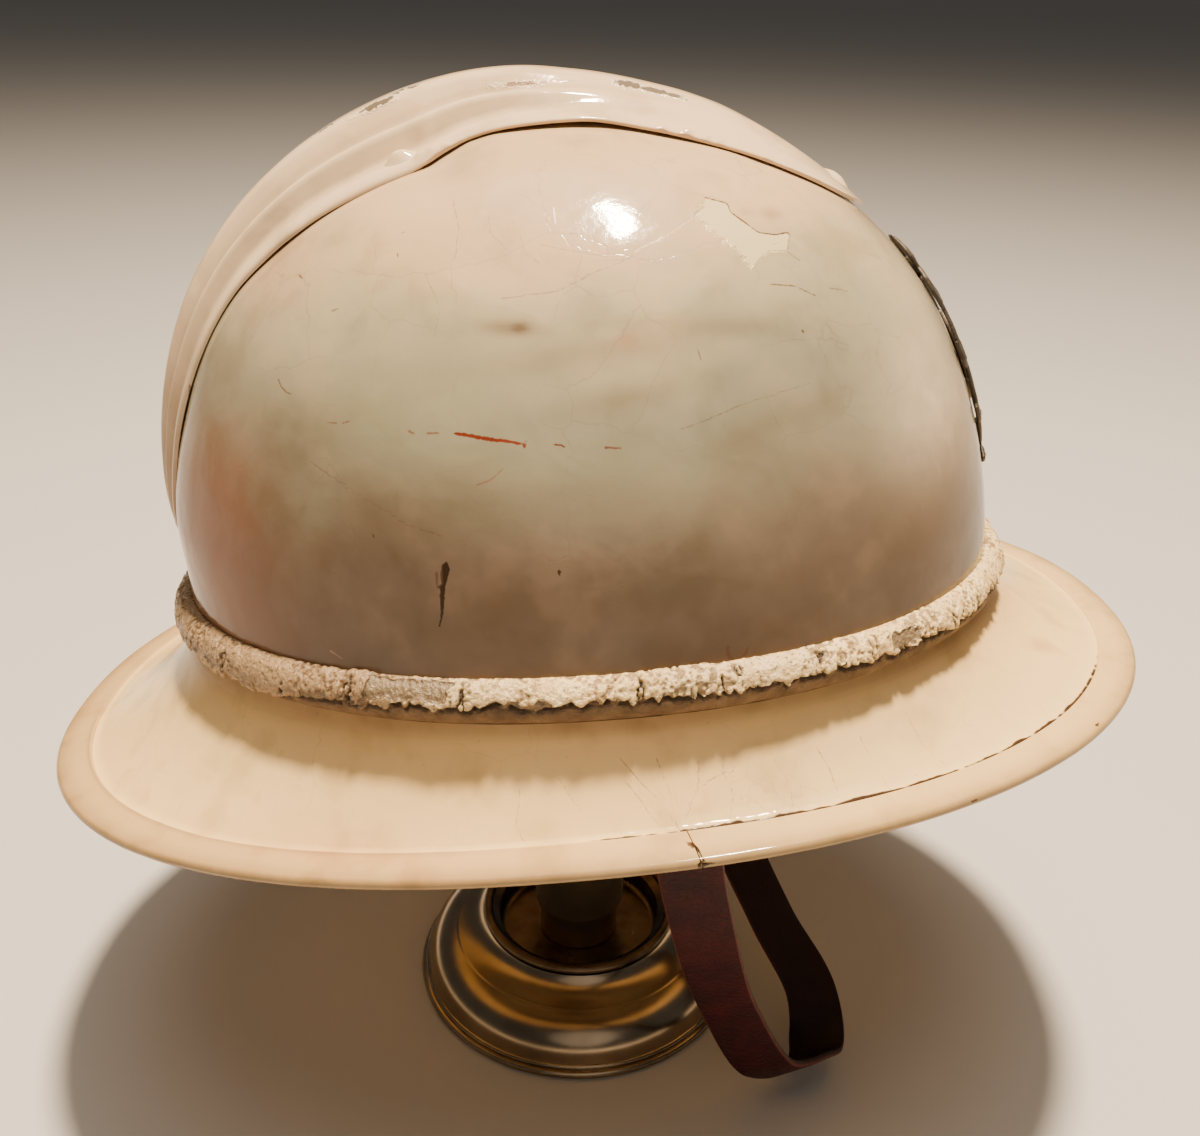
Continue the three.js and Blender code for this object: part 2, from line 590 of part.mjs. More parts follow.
function makeStrap() {
  const run = STRAP_TABLE.map(({ x, y, z, turn, rise }) => ({
    point: new THREE.Vector3(x, y, z),
    width: new THREE.Vector3(Math.cos(radians(turn)), Math.sin(radians(turn)), Math.tan(radians(rise))),
  }));
  const route = [...strapWrap(-1), ...run, ...strapWrap(1).reverse()];
  const curve = new THREE.CatmullRomCurve3(route.map(({ point }) => point), false, "centripetal");
  const widths = new THREE.CatmullRomCurve3(route.map(({ width }) => width), false, "centripetal");
  const wraps = strapWrap(1).length;
  const knots = route.length - 1;
  const shares = [];
  for (let knot = 0; knot < knots; knot += 1) {
    const inWrap = knot < wraps - 1 || knot >= knots - wraps + 1;
    for (const part of steps(inWrap ? 1 : 5).slice(0, -1)) shares.push((knot + part) / knots);
  }
  shares.push(1);
  return loft(shares.map((share) => {
    const middle = curve.getPoint(share);
    const tangent = curve.getTangent(share);
    const across = widths.getPoint(share);
    across.addScaledVector(tangent, -across.dot(tangent)).normalize();
    const normal = new THREE.Vector3().crossVectors(tangent, across);
    return [[1, 1], [-1, 1], [-1, -1], [1, -1]].map(([a, b]) => middle.clone()
      .addScaledVector(across, a * STRAP.width / 2)
      .addScaledVector(normal, b * STRAP.thickness / 2));
  }));
}

// ---------------------------------------------------------------- stand
// The points of one arc of a turned profile, as [radius, height] pairs.
function arcPoints({ radius, height, across, up, from, to, pieces }) {
  return steps(pieces).map((share) => {
    const angle = radians(mix(from, to, share));
    return [radius + across * Math.cos(angle), height + up * Math.sin(angle)];
  });
}

// A piece turned about the Z axis. Its profile starts and ends on the axis, or closes on itself.
function turned(profile, segments) {
  const points = profile.map(([radius, height]) => new THREE.Vector2(radius, height));
  return toGeometry(toSolid(new THREE.LatheGeometry(points, segments).rotateX(Math.PI / 2)));
}

// A solid foot: a bead round the rim, a round shoulder, a cove up to the neck, and the well in the top.
const footProfile = [
  [0, 0],
  ...FOOT_ARCS.flatMap(arcPoints),
  [FOOT.wellRadius, FOOT.top],
  [FOOT.wellRadius, FOOT.well],
  [0, FOOT.well],
];

// The dish that lines the well: a floor, a wall, and a round rim that rests on the foot.
const dishOuter = FOOT.wellRadius - GAP;
const dishInner = dishOuter - DISH.wall;
const dishFloor = FOOT.well + GAP + DISH.wall;
const dishProfile = [
  [0, FOOT.well + GAP],
  [dishOuter, FOOT.well + GAP],
  [dishOuter, FOOT.top + GAP],
  ...arcPoints(DISH_RIM),
  [dishInner, FOOT.top + GAP],
  [dishInner, dishFloor],
  [0, dishFloor],
];

const columnTop = REST.top - REST.thickness - GAP;
const columnProfile = [
  [0, dishFloor + GAP],
  [COLUMN.radius, dishFloor + GAP],
  [COLUMN.radius, columnTop],
  [0, columnTop],
];

// The sleeve slides over the column.
const sleeveInner = COLUMN.radius + GAP;
const sleeveOuter = sleeveInner + SLEEVE.wall;
const sleeveProfile = [
  [sleeveInner, SLEEVE.start],
  [sleeveOuter, SLEEVE.start],
  [sleeveOuter, columnTop],
  [sleeveInner, columnTop],
  [sleeveInner, SLEEVE.start],
];

// The rest: a shallow mushroom under the crown.
const crownArc = { across: REST.radius, up: REST.crown, from: 0, to: 90, pieces: 4 };
const restProfile = [
  [0, REST.top - REST.thickness],
  [REST.radius - 2, REST.top - REST.thickness],
  ...arcPoints({ radius: 0, height: REST.top - REST.crown, ...crownArc }),
];

// ---------------------------------------------------------------- the whole
const seam = { front: seamAngle(-GAP), rear: seamAngle(GAP) };

const crest = makeCrest();

const helmet = new THREE.Group();
helmet.rotation.copy(seatTurn);
helmet.position.copy(seatPlace);
helmet.add(
  node("dome", makeDome(), cream),
  node("visor", makePlate(-seam.front, seam.front, 28), cream),
  node("neck_guard", makePlate(seam.rear, turnRound - seam.rear, 32), cream),
  node("visor_binding", makeBinding(-seam.front, seam.front, 28), edgeCream),
  node("neck_binding", makeBinding(seam.rear, turnRound - seam.rear, 32), edgeCream),
  node("welt", makeWelt(), cordPaint),
  node("crest", crest, cream),
  ...CREST_RIVETS.map((rivet) => makeRivet(rivet, crest)),
  node("badge", makeBadge(), castGrey),
  node("strap_bail_right", makeBail(-1), steelWire),
  node("strap_bail_left", makeBail(1), steelWire),
);

const stand = new THREE.Group();
stand.add(
  node("stand_foot", turned(footProfile, 32), brass),
  node("stand_dish", turned(dishProfile, 32), brass),
  node("stand_column", turned(columnProfile, 24), brass),
  node("stand_sleeve", turned(sleeveProfile, 24), brass),
  node("stand_rest", turned(restProfile, 24), brass),
);

const whole = new THREE.Group();
whole.add(helmet, stand, node("chin_strap", makeStrap(), oxblood));

export default whole;
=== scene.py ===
import json
import math

import bpy
import numpy as np
from mathutils import Matrix, Vector

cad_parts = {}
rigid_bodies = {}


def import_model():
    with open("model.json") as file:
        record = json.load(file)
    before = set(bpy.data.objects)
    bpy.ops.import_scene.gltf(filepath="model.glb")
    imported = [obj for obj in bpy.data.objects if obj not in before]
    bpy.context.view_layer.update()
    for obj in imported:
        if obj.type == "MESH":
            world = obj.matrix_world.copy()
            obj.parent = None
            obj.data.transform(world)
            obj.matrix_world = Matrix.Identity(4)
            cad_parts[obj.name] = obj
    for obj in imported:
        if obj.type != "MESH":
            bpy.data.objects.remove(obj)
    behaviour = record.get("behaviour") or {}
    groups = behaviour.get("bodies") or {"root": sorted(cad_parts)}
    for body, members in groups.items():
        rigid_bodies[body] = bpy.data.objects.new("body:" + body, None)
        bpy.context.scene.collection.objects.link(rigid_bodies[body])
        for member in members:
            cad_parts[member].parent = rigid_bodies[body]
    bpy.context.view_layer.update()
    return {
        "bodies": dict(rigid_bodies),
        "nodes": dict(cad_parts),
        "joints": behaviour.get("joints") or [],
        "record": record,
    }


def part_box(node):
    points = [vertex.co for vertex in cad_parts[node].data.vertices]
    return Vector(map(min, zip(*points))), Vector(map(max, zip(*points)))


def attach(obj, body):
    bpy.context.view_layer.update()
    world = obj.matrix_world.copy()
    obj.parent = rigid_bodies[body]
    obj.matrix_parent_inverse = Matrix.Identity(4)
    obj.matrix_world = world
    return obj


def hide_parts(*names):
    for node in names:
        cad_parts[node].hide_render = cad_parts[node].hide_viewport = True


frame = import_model()

# ---------------------------------------------------------------- dome
# The shell is one pressing of 1 mm sheet steel: an oval bowl, open below, with a short upright skirt.
# It was painted cream several times over, so it is glossy, cracked and stained, with a peeling patch.
# Lengths in these sections are in millimetres, in the helmet's own frame: front +X, right side -Y.
MM = 0.001
STEEL = 1.0
DOME_LENGTH, DOME_WIDTH, DOME_HEIGHT, DOME_SKIRT = 108.0, 90.0, 118.0, 3.0  # the first two are halves
PLAN_EXPONENT = 2.14
FRONT_EXPONENT, REAR_EXPONENT, SIDE_EXPONENT = 2.36, 2.4, 2.2
FRONT_UP, RIGHT_UP = math.radians(4.45), math.radians(4.8)  # how the helmet leans on its rest
TURN = 2 * math.pi


def power(value, exponent):
    return np.sign(value) * np.abs(value) ** exponent


def oval(angle, half_length, half_width, exponent=PLAN_EXPONENT):
    """Points of an oval outline, as (x, y) in the last axis."""
    x = half_length * power(np.cos(angle), 2 / exponent)
    y = half_width * power(np.sin(angle), 2 / exponent)
    return np.stack([x, y], -1)


def unit(vectors):
    return vectors / np.linalg.norm(vectors, axis=-1, keepdims=True)


def dome_point(direction, offset=0.0):
    """Where rays from the helmet's origin leave the dome, grown outwards by offset."""
    x, y, z = np.moveaxis(np.asarray(direction, float), -1, 0)
    along = np.abs(x) / (DOME_LENGTH + offset)
    across = np.abs(y) / (DOME_WIDTH + offset)
    plan = (along**PLAN_EXPONENT + across**PLAN_EXPONENT) ** (1 / PLAN_EXPONENT)
    sideways = across**2 / (across**2 + along**2 + 1e-12)
    lengthways = np.where(x > 0, FRONT_EXPONENT, REAR_EXPONENT)
    exponent = lengthways + (SIDE_EXPONENT - lengthways) * sideways
    rise = np.abs(z) / (DOME_HEIGHT + offset)
    reach = (plan**exponent + rise**exponent) ** (-1 / exponent)
    return direction * reach[..., None]


def lattice(cell, seed):
    """A repeatable value from -1 to 1 for each corner of a lattice."""
    mixed = cell[..., 0] * 127.1 + cell[..., 1] * 311.7 + cell[..., 2] * 74.7 + seed * 19.19
    return 2 * ((np.sin(mixed) * 43758.5453) % 1.0) - 1


def rough(points, size, seed=0):
    """Smooth noise from -1 to 1, in lumps of about that size."""
    scaled = np.asarray(points, float) / size
    base = np.floor(scaled)
    part = scaled - base
    part = part * part * (3 - 2 * part)
    total = np.zeros(scaled.shape[:-1])
    for corner in np.ndindex(2, 2, 2):
        weight = np.prod(np.where(np.array(corner) == 1, part, 1 - part), axis=-1)
        total += weight * lattice(base + corner, seed)
    return total


def smooth_step(value, low, high):
    share = np.clip((value - low) / (high - low), 0, 1)
    return share * share * (3 - 2 * share)


def ring_faces(rows, columns, joined):
    """Four-sided faces between rings of points."""
    index = np.arange(rows * columns).reshape(rows, columns)
    above = np.roll(index, -1, 0) if joined else index[1:]
    below = index if joined else index[:-1]
    faces = np.stack([below, np.roll(below, -1, 1), np.roll(above, -1, 1), above], -1)
    return faces.reshape(-1, 4)


def make_piece(name, rings, joined=False, place=None, crease=40):
    """A closed solid through rings of points, in millimetres. Its ends are capped unless it joins up."""
    rings = np.asarray(rings, float)
    rows, columns = rings.shape[:2]
    points = rings.reshape(-1, 3)
    faces = ring_faces(rows, columns, joined)
    corners = points[faces]
    normals = np.cross(corners[:, 2] - corners[:, 0], corners[:, 3] - corners[:, 1])
    inside_out = np.einsum("ij,ij->", corners.mean(1) - points.mean(0), normals) < 0
    faces = faces.tolist()
    if not joined:
        faces.append(list(range(columns))[::-1])
        faces.append(list(range((rows - 1) * columns, rows * columns)))
    mesh = bpy.data.meshes.new(name)
    mesh.from_pydata((points * MM).tolist(), [], faces)
    if inside_out:
        mesh.flip_normals()
    mesh.shade_smooth()
    mesh.set_sharp_from_angle(angle=math.radians(crease))
    if place is not None:
        mesh.transform(place)
    piece = bpy.data.objects.new(name, mesh)
    bpy.context.scene.collection.objects.link(piece)
    return piece


def record_values(piece, **values):
    """Keeps a number for each point of a mesh, for its finish to read."""
    for name, numbers in values.items():
        attribute = piece.data.attributes.new(name, "FLOAT", "POINT")
        attribute.data.foreach_set("value", np.ascontiguousarray(numbers, np.float32).ravel())


def surface_spot(points, usable, axes, place):
    """The place on a surface that two of its coordinates give."""
    gap = np.abs(points[:, axes] - np.array(place)).sum(1)
    gap[~usable] = np.inf
    spot = points[gap.argmin()].copy()
    spot[axes] = place
    return spot


STROKE_REACH = 2.4  # beyond this a point belongs to no stroke
FAR_OFF = 9.0


def draw_strokes(points, normals, strokes, usable, axes):
    """Lays thin strokes on a surface. For each point: how far it is to the side of the nearest one,
    half that stroke's width there, its tone and its strength."""
    count = len(points)
    side, half = np.full(count, FAR_OFF), np.full(count, -FAR_OFF)
    tone, strength, nearest = np.zeros(count), np.zeros(count), np.full(count, STROKE_REACH)
    wander = np.stack([rough(points, 5, 31 + axis) for axis in range(3)], -1) * 0.35
    for half_width, narrowing, its_tone, its_strength, places in strokes:
        path = np.array([surface_spot(points, usable, axes, spot) for spot in places])
        legs = np.linalg.norm(np.diff(path, axis=0), axis=1)
        low, high = path.min(0) - 4, path.max(0) + 4
        close = np.where(((points > low) & (points < high)).all(1) & usable)[0]
        here = points[close] + wander[close]
        for leg, (start, end) in enumerate(zip(path[:-1], path[1:])):
            heading = (end - start) / max(legs[leg], 0.01)
            offset = here - start
            walked = offset @ heading
            inner = np.clip(walked, 0, legs[leg])
            gap = np.linalg.norm(offset - inner[:, None] * heading, axis=1)
            over = np.abs(walked - inner)
            at_end = ((leg == 0) & (walked < 0)) | ((leg == len(legs) - 1) & (walked > legs[leg]))
            share = (legs[:leg].sum() + inner) / max(legs.sum(), 0.01)
            taper = half_width * (1 - (1 - narrowing) * share)
            squared = np.maximum(gap**2 - np.where(at_end, over, 0) ** 2, 0)
            turn = np.sign(np.einsum("ij,ij->i", np.cross(normals[close], heading), offset))
            better = gap < nearest[close]
            chosen = close[better]
            nearest[chosen] = gap[better]
            side[chosen] = (turn * np.sqrt(squared))[better]
            half[chosen] = (taper - np.where(at_end, over, 0))[better]
            tone[chosen], strength[chosen] = its_tone, its_strength
    return {"mark_side": side, "mark_half": half, "mark_tone": tone, "mark_strength": strength}


PATCH_REACH = 6.0  # patches are stored this much deeper, so that nothing stored means no patch


def draw_patches(points, patches, usable, axes):
    """Lays chipped patches on a surface. For each point: how far it is inside one, and its tone."""
    depth, tone = np.full(len(points), -PATCH_REACH), np.zeros(len(points))
    for place, long, short, turn, its_tone in patches:
        offset = points - surface_spot(points, usable, axes, place)
        turned = math.radians(turn)
        along = offset[:, axes[0]] * math.cos(turned) + offset[:, axes[1]] * math.sin(turned)
        across = np.sqrt(np.maximum((offset**2).sum(1) - along**2, 0))
        inside = (1 - np.sqrt((along / long) ** 2 + (across / short) ** 2)) * short
        inside += rough(points, max(short, 1.5), 5) * short * 0.35
        inside = np.where(usable, inside, -PATCH_REACH)
        better = inside > depth
        depth[better], tone[better] = inside[better], its_tone
    return {"patch_depth": np.clip(depth, -PATCH_REACH, PATCH_REACH) + PATCH_REACH, "patch_tone": tone}


def draw_stains(points, stains, usable, axes):
    """Soft stains: for each point, how much there is of each kind."""
    fields = {"stain_" + kind: np.zeros(len(points)) for kind in ("dark", "grey", "warm", "pale")}
    for place, long, short, turn, kind, amount in stains:
        turned = math.radians(turn)
        first = points[:, axes[0]] - place[0]
        second = points[:, axes[1]] - place[1]
        along = first * math.cos(turned) + second * math.sin(turned)
        across = second * math.cos(turned) - first * math.sin(turned)
        share = np.exp(-((along / long) ** 2) - (across / short) ** 2)
        fields["stain_" + kind] += share * amount * usable
    return fields


def outline_depth(flat, corners):
    """How far places are inside an outline, and how far they are from each of its sides."""
    inside = np.zeros(len(flat), bool)
    gaps = []
    for start, end in zip(corners, corners[1:] + corners[:1]):
        (x0, y0), (x1, y1) = start, end
        step = np.array(end, float) - start
        share = np.clip((flat - start) @ step / (step @ step), 0, 1)
        gaps.append(np.linalg.norm(flat - start - share[:, None] * step, axis=1))
        crosses = (y0 > flat[:, 1]) != (y1 > flat[:, 1])
        rise = y1 - y0 if y1 != y0 else 1e-9
        inside ^= crosses & (flat[:, 0] < x0 + (flat[:, 1] - y0) * (x1 - x0) / rise)
    gaps = np.array(gaps)
    return np.where(inside, 1, -1) * gaps.min(0), gaps


# A patch near the brow where the top coat has come away. Its sides before SOFT_SIDE broke off clean.
PEELED = [(31, 103), (36, 101.5), (36.5, 99.5), (42, 95.5), (46, 94.5), (49.5, 94.5), (48, 91), (44, 91.5),
          (40.5, 90), (39.5, 88.5), (37.5, 92), (33, 95.5), (28.5, 99.5)]
SOFT_SIDE = 9
# Scratches, cracks and drips on the dome's right side: half the width, taper at the far end, tone from
# 0 for dark through 0.5 for rust to 1 for bare pale paint, strength, and the path as (x, z) places.
DOME_STROKES = [
    (0.24, 0.6, 0.4, 0.6, [(-36, 62.5), (-34.5, 62)]),  # the rust-red scratch, in broken lengths
    (0.22, 1, 0.4, 0.6, [(-32, 62), (-29.5, 62)]),
    (0.36, 0.8, 0.42, 1, [(-26, 62), (-22.5, 61.5)]),
    (0.42, 0.8, 0.42, 1, [(-22.5, 61.5), (-17, 60.5)]),
    (0.36, 0.7, 0.5, 1, [(-17, 60.5), (-11.5, 59.5)]),
    (0.26, 0.4, 0.4, 0.9, [(-11, 60), (-12, 58.5)]),
    (0.2, 1, 0.35, 0.5, [(-54, 63.5), (-52, 63.5)]),
    (0.24, 0.6, 0.35, 0.6, [(-50.5, 63.5), (-48.5, 64)]),
    (0.3, 0.6, 0.3, 0.9, [(-5.5, 59), (-3, 58.5)]),
    (0.26, 0.6, 0.35, 0.8, [(5, 58), (8.5, 57.5)]),
    (0.26, 0.4, 0.5, 0.4, [(-22, 52), (-19, 53), (-16.5, 55)]),
    (0.95, 0.1, 0, 0.95, [(-30, 35.5), (-31, 30.5), (-32.5, 22)]),  # the dark gouge
    (0.4, 0.3, 0.1, 0.45, [(-32, 34), (-32.5, 28)]),
    (0.45, 1, 0.05, 0.9, [(-6, 33.5), (-6, 33)]),  # nicks, specks and drips
    (0.28, 1, 0.1, 0.7, [(-45.5, 41.5), (-45.5, 41)]),
    (0.22, 0.6, 0.7, 0.5, [(-58.5, 14), (-55.5, 12.5)]),
    (0.42, 0.9, 0.2, 0.4, [(29, 14), (29, 11.5), (30, 10)]),
    (0.42, 0.9, 0.2, 0.4, [(30, 10), (32, 10), (33.5, 12.5)]),
    (0.26, 0.5, 0.2, 0.5, [(25.5, 75), (26.5, 72.5)]),
    (0.32, 1, 0.05, 0.8, [(-36, 100), (-35.5, 100)]),
    (0.22, 1, 0.1, 0.7, [(-37, 96), (-37, 95.5)]),
    (0.26, 0.6, 0.1, 0.7, [(-61.5, 91), (-60.5, 90.5)]),
    (0.3, 1, 0.2, 0.5, [(-52.5, 85), (-51, 85)]),
    (0.26, 0.6, 0.2, 0.6, [(-66, 71), (-64.5, 69), (-63, 68.5)]),
    (0.3, 1, 0.05, 0.9, [(49.5, 76), (49.5, 75.5)]),
    (0.2, 0.5, 0.2, 0.7, [(43, 85.5), (49, 84.5), (53.5, 82)]),
    (0.16, 0.5, 0.2, 0.6, [(57, 83), (62, 81.5)]),
    (0.26, 0.5, 1, 1, [(-2.5, 103.5), (-2, 100.5)]),
    (0.2, 0.5, 0.2, 0.6, [(8.5, 102.5), (11, 101.5)]),
    (0.2, 0.5, 0.2, 0.5, [(13.5, 102), (16.5, 101)]),
    (0.1, 0.6, 0.25, 0.4, [(-24.5, 106), (-23.5, 100), (-24.5, 94.5)]),  # hairline cracks
    (0.1, 0.6, 0.25, 0.35, [(-17, 102.5), (-16.5, 99), (-13, 96)]),
    (0.1, 0.6, 0.25, 0.35, [(-10, 98.5), (-9, 95), (-6, 93)]),
    (0.1, 0.6, 0.25, 0.35, [(-31, 92), (-28, 86), (-29, 80)]),
    # a pale line along a crease, its paleness a painted highlight glinting along it
    (0.14, 0.8, 1, 0.55, [(14, 94), (22, 97), (29.5, 100)]),
    (0.12, 0.8, 0.2, 0.4, [(-15, 87), (-2, 88), (14, 93.5)]),
    (0.12, 0.8, 0.2, 0.3, [(-6, 96.5), (7, 93.5), (19.5, 92)]),
    (0.12, 0.8, 0.2, 0.35, [(21, 60), (34, 63.5), (50, 65.5)]),
    (0.14, 0.8, 0.2, 0.3, [(-59, 55.5), (-39, 44.5), (-30.5, 41.5)]),
    # a painted shadow: the dark line along the clean edge of the peeled patch, where its raised rim casts a
    # shadow
    (0.2, 0.8, 0.15, 0.85, PEELED[:6]),  # the clean edge of the peeled patch, and two cracks from it
    (0.16, 0.8, 0.3, 0.5, [(49.5, 94.5), (48, 91), (51, 89)]),
    (0.14, 0.8, 0.3, 0.5, [(40.5, 90), (44, 91.5), (48, 91)]),
]
# Soft stains and smudges, with two patches of painted shade: the middle as (x, z), half sizes, turn in
# degrees, kind and amount.
DOME_STAINS = [
    # warmer and redder low at the rear
    ((-94, 26), 24, 24, 0, "warm", 0.42),
    ((-84, 52), 16, 14, 0, "warm", 0.18),
    ((-60, 60), 15, 9, 10, "dark", 0.45),
    ((-42, 46), 17, 8, -20, "dark", 0.45),
    ((-5, 23), 44, 12, 0, "dark", 0.22),
    ((30, 14), 26, 8, 6, "dark", 0.3),
    ((92, 50), 24, 12, -20, "pale", 0.35),
    # painted shade: darkens the dome's low rear edge, in place of a dark surround's reflection
    ((-94, 20), 24, 26, 0, "dark", 0.65),
    ((-80, 40), 16, 18, 0, "dark", 0.12),
    # painted shade: darkens the dome's low front edge, in place of a dark surround's reflection
    ((78, 26), 14, 18, 10, "dark", 0.4),
    ((84, 62), 14, 26, -10, "pale", 0.45),
    ((-2, 56), 20, 5, 0, "grey", 0.45),
    ((-30, 66), 24, 14, -5, "grey", 0.5),
    ((12, 48), 34, 8, 5, "grey", 0.3),
    ((-14, 81.5), 6.5, 1.5, -6, "dark", 0.55),
    ((-11, 81.5), 2.2, 1.1, 0, "dark", 0.6),
    ((2, 76), 34, 3.2, 4, "dark", 0.3),
    ((30, 79), 26, 2.2, -8, "dark", 0.22),
    ((10, 67), 20, 3, 8, "dark", 0.28),
    ((46, 60), 20, 3, 12, "dark", 0.2),
    ((11, 78), 1.8, 1.3, 0, "warm", 0.3),
    ((46, 98.5), 2.6, 1.1, -10, "dark", 0.4),
    ((40, 99.5), 2, 0.8, -10, "dark", 0.25),
    ((31, 11), 2.4, 1.8, 0, "dark", 0.35),
    ((-72, 96), 20, 12, 35, "warm", 0.2),
    # a paler band high on the right side, below the crest
    ((5, 106), 60, 6, 0, "pale", 0.25),
]
# The dome is fuller beside the crest than a plain bowl: how much, by the angle up from the front.
FULLNESS = [
    (52, 0), (66, 0.1), (70, 0.5),
    (76, 1.0), (79, 1.5), (82, 2.2),
    (86, 3.0), (91, 3.35), (97, 3.3),
    (100, 2.7), (103, 1.2), (106, 0.2),
    (126, 0), (134, 0.75), (140, 1.05),
    (150, 1.2), (156, 1.6), (162, 1.85),
    (167, 1.4), (175, 0),
]

plain_side = np.linspace(0, math.pi, 101)[:-1]
marked_side = np.linspace(math.pi, TURN, 361)[:-1]
around = np.concatenate([plain_side, marked_side])


def eased(share, first, leave, second, arrive):
    """From first to second with the slopes leave and arrive at the two ends."""
    return ((2 * share**3 - 3 * share**2 + 1) * first + (share**3 - 2 * share**2 + share) * leave
            + (3 * share**2 - 2 * share**3) * second + (share**3 - share**2) * arrive)


def flowing(value, known, heights):
    """A smooth curve through a table that never overshoots its rows. The known values increase."""
    known, heights = np.asarray(known, float), np.asarray(heights, float)
    widths, rises = np.diff(known), np.diff(heights)
    slopes = rises / widths
    flats = slopes[:-1] * slopes[1:] <= 0
    inner = np.where(flats, 0, 2 * slopes[:-1] * slopes[1:] / np.where(flats, 1, slopes[:-1] + slopes[1:]))
    tangents = np.concatenate([[slopes[0]], inner, [slopes[-1]]])
    index = np.clip(np.searchsorted(known, value) - 1, 0, len(widths) - 1)
    share = np.clip((value - known[index]) / widths[index], 0, 1)
    first, second = heights[index], heights[index + 1]
    leave, arrive = tangents[index] * widths[index], tangents[index + 1] * widths[index]
    return eased(share, first, leave, second, arrive)


def dome_rows(rises, offset):
    flat = oval(around, DOME_LENGTH, DOME_WIDTH)
    steps = []
    for rise in rises:
        height = np.full(len(around), DOME_HEIGHT * math.sin(rise))
        steps.append(np.column_stack([flat * math.cos(rise), height]))
    return dome_point(np.array(steps), offset)


def dome_level(height, offset):
    flat = oval(around, DOME_LENGTH + offset, DOME_WIDTH + offset)
    return np.column_stack([flat, np.full(len(around), height)])[None]


crown = math.pi / 2 - 0.004
plain = dome_rows(np.linspace(0, crown, 177)[1:], 0)
outer = plain.copy()
unevenness = 0.14 * rough(outer, 34, 1) + 0.07 * rough(outer, 13, 2) + 0.02 * rough(outer, 5, 3)
outer += unit(outer) * (unevenness * smooth_step(outer[..., 2], 9, 16))[..., None]


def fullness(points):
    """How far the dome stands proud of a plain bowl at points on it."""
    angle = np.degrees(np.arctan2(points[..., 2], points[..., 0]))
    proud = flowing(angle, *zip(*FULLNESS))
    return proud * smooth_step(np.abs(points[..., 1]), 57, 22) * smooth_step(points[..., 2], 8, 30)


inner = dome_rows(np.linspace(0, crown, 25)[:0:-1], -STEEL)
inner += unit(inner) * fullness(inner)[..., None]
outer += unit(outer) * fullness(outer)[..., None]
dome_rings = np.concatenate([
    inner,
    dome_level(-DOME_SKIRT, -STEEL),
    dome_level(-DOME_SKIRT, 0),
    dome_level(0, 0),
    outer,
])

# The helmet's place: it leans on its rest, so that the plain dome fills the box of the solid one.
lean = Matrix.Rotation(-FRONT_UP, 4, "Y") @ Matrix.Rotation(-RIGHT_UP, 4, "X")
foot_and_bowl = np.concatenate([dome_level(-DOME_SKIRT, 0), plain]).reshape(-1, 3)
leaning = foot_and_bowl @ np.array(lean.to_3x3()).T * MM
dome_low, dome_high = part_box("dome")
middle = (dome_low + dome_high) / 2 - Vector((leaning.min(0) + leaning.max(0)) / 2)
HELMET = Matrix.Translation(middle) @ lean


def tint(red, green, blue):
    """A colour from screen values of 0 to 255, with its alpha."""
    return tuple(((value / 255 + 0.055) / 1.055) ** 2.4 for value in (red, green, blue)) + (1.0,)


def put(tree, kind, inputs, **settings):
    """Adds a shader node. Its inputs, by name or number, are sockets or plain values."""
    node = tree.nodes.new("ShaderNode" + kind)
    for key, value in settings.items():
        setattr(node, key, value)
    for key, value in inputs.items():
        if isinstance(value, bpy.types.NodeSocket):
            tree.links.new(value, node.inputs[key])
        else:
            node.inputs[key].default_value = value
    return node


def reckon(tree, operation, first, second=0.0):
    return put(tree, "Math", {0: first, 1: second}, operation=operation).outputs[0]


def times(tree, *values):
    product = values[0]
    for value in values[1:]:
        product = reckon(tree, "MULTIPLY", product, value)
    return product


def plus(tree, first, second):
    return reckon(tree, "ADD", first, second)


def minus(tree, first, second):
    return reckon(tree, "SUBTRACT", first, second)


def lumps(tree, place, size, detail=2.0, roughness=0.5, distortion=0.0):
    """Noise from 0 to 1, in lumps of about that size in millimetres."""
    settings = {"Vector": place, "Scale": 1 / size, "Detail": detail, "Roughness": roughness,
                "Distortion": distortion}
    return put(tree, "TexNoise", settings).outputs["Fac"]


def band(tree, value, low, high):
    """Smoothly from 0 where the value is low to 1 where it is high."""
    settings = {"Value": value, "From Min": low, "From Max": high}
    return put(tree, "MapRange", settings, interpolation_type="SMOOTHSTEP").outputs["Result"]


def blend(tree, share, first, second, way="MIX"):
    inputs = {0: share, 6: first, 7: second}
    return put(tree, "Mix", inputs, data_type="RGBA", blend_type=way).outputs[2]


def ramp(tree, value, stops):
    node = put(tree, "ValToRGB", {0: value})
    elements = node.color_ramp.elements
    while len(elements) < len(stops):
        elements.new(0.5)
    for element, (position, colour) in zip(elements, stops):
        element.position = position
        element.color = colour
    return node.outputs["Color"]


def stored(tree, name):
    return put(tree, "Attribute", {}, attribute_name=name).outputs["Fac"]


def start_finish(name, frame=None):
    """A new material: its node tree, its shader, and the place on the piece in millimetres.

    With a frame, the place is told from it, and not from the part's own origin."""
    material = bpy.data.materials.new(name)
    material.use_nodes = True
    tree = material.node_tree
    place = put(tree, "TexCoord", {}).outputs["Object"]
    if frame is not None:
        turned = {"Vector": place, "Location": frame.translation, "Rotation": frame.to_euler()}
        place = put(tree, "Mapping", turned, vector_type="TEXTURE").outputs["Vector"]
    scaled = put(tree, "VectorMath", {0: place, "Scale": 1 / MM}, operation="SCALE")
    return material, tree, tree.nodes["Principled BSDF"], scaled.outputs["Vector"]


def set_surface(tree, shader, colour, roughness):
    tree.links.new(colour, shader.inputs["Base Color"])
    tree.links.new(roughness, shader.inputs["Roughness"])


def set_relief(tree, shader, height, strength=1.0):
    """Bumps the surface by a height in millimetres."""
    bump = put(tree, "Bump", {"Height": height, "Distance": MM, "Strength": strength})
    tree.links.new(bump.outputs["Normal"], shader.inputs["Normal"])


DARK_MARK, RUST_MARK, PALE_MARK = tint(52, 36, 22), tint(132, 56, 34), tint(238, 224, 200)


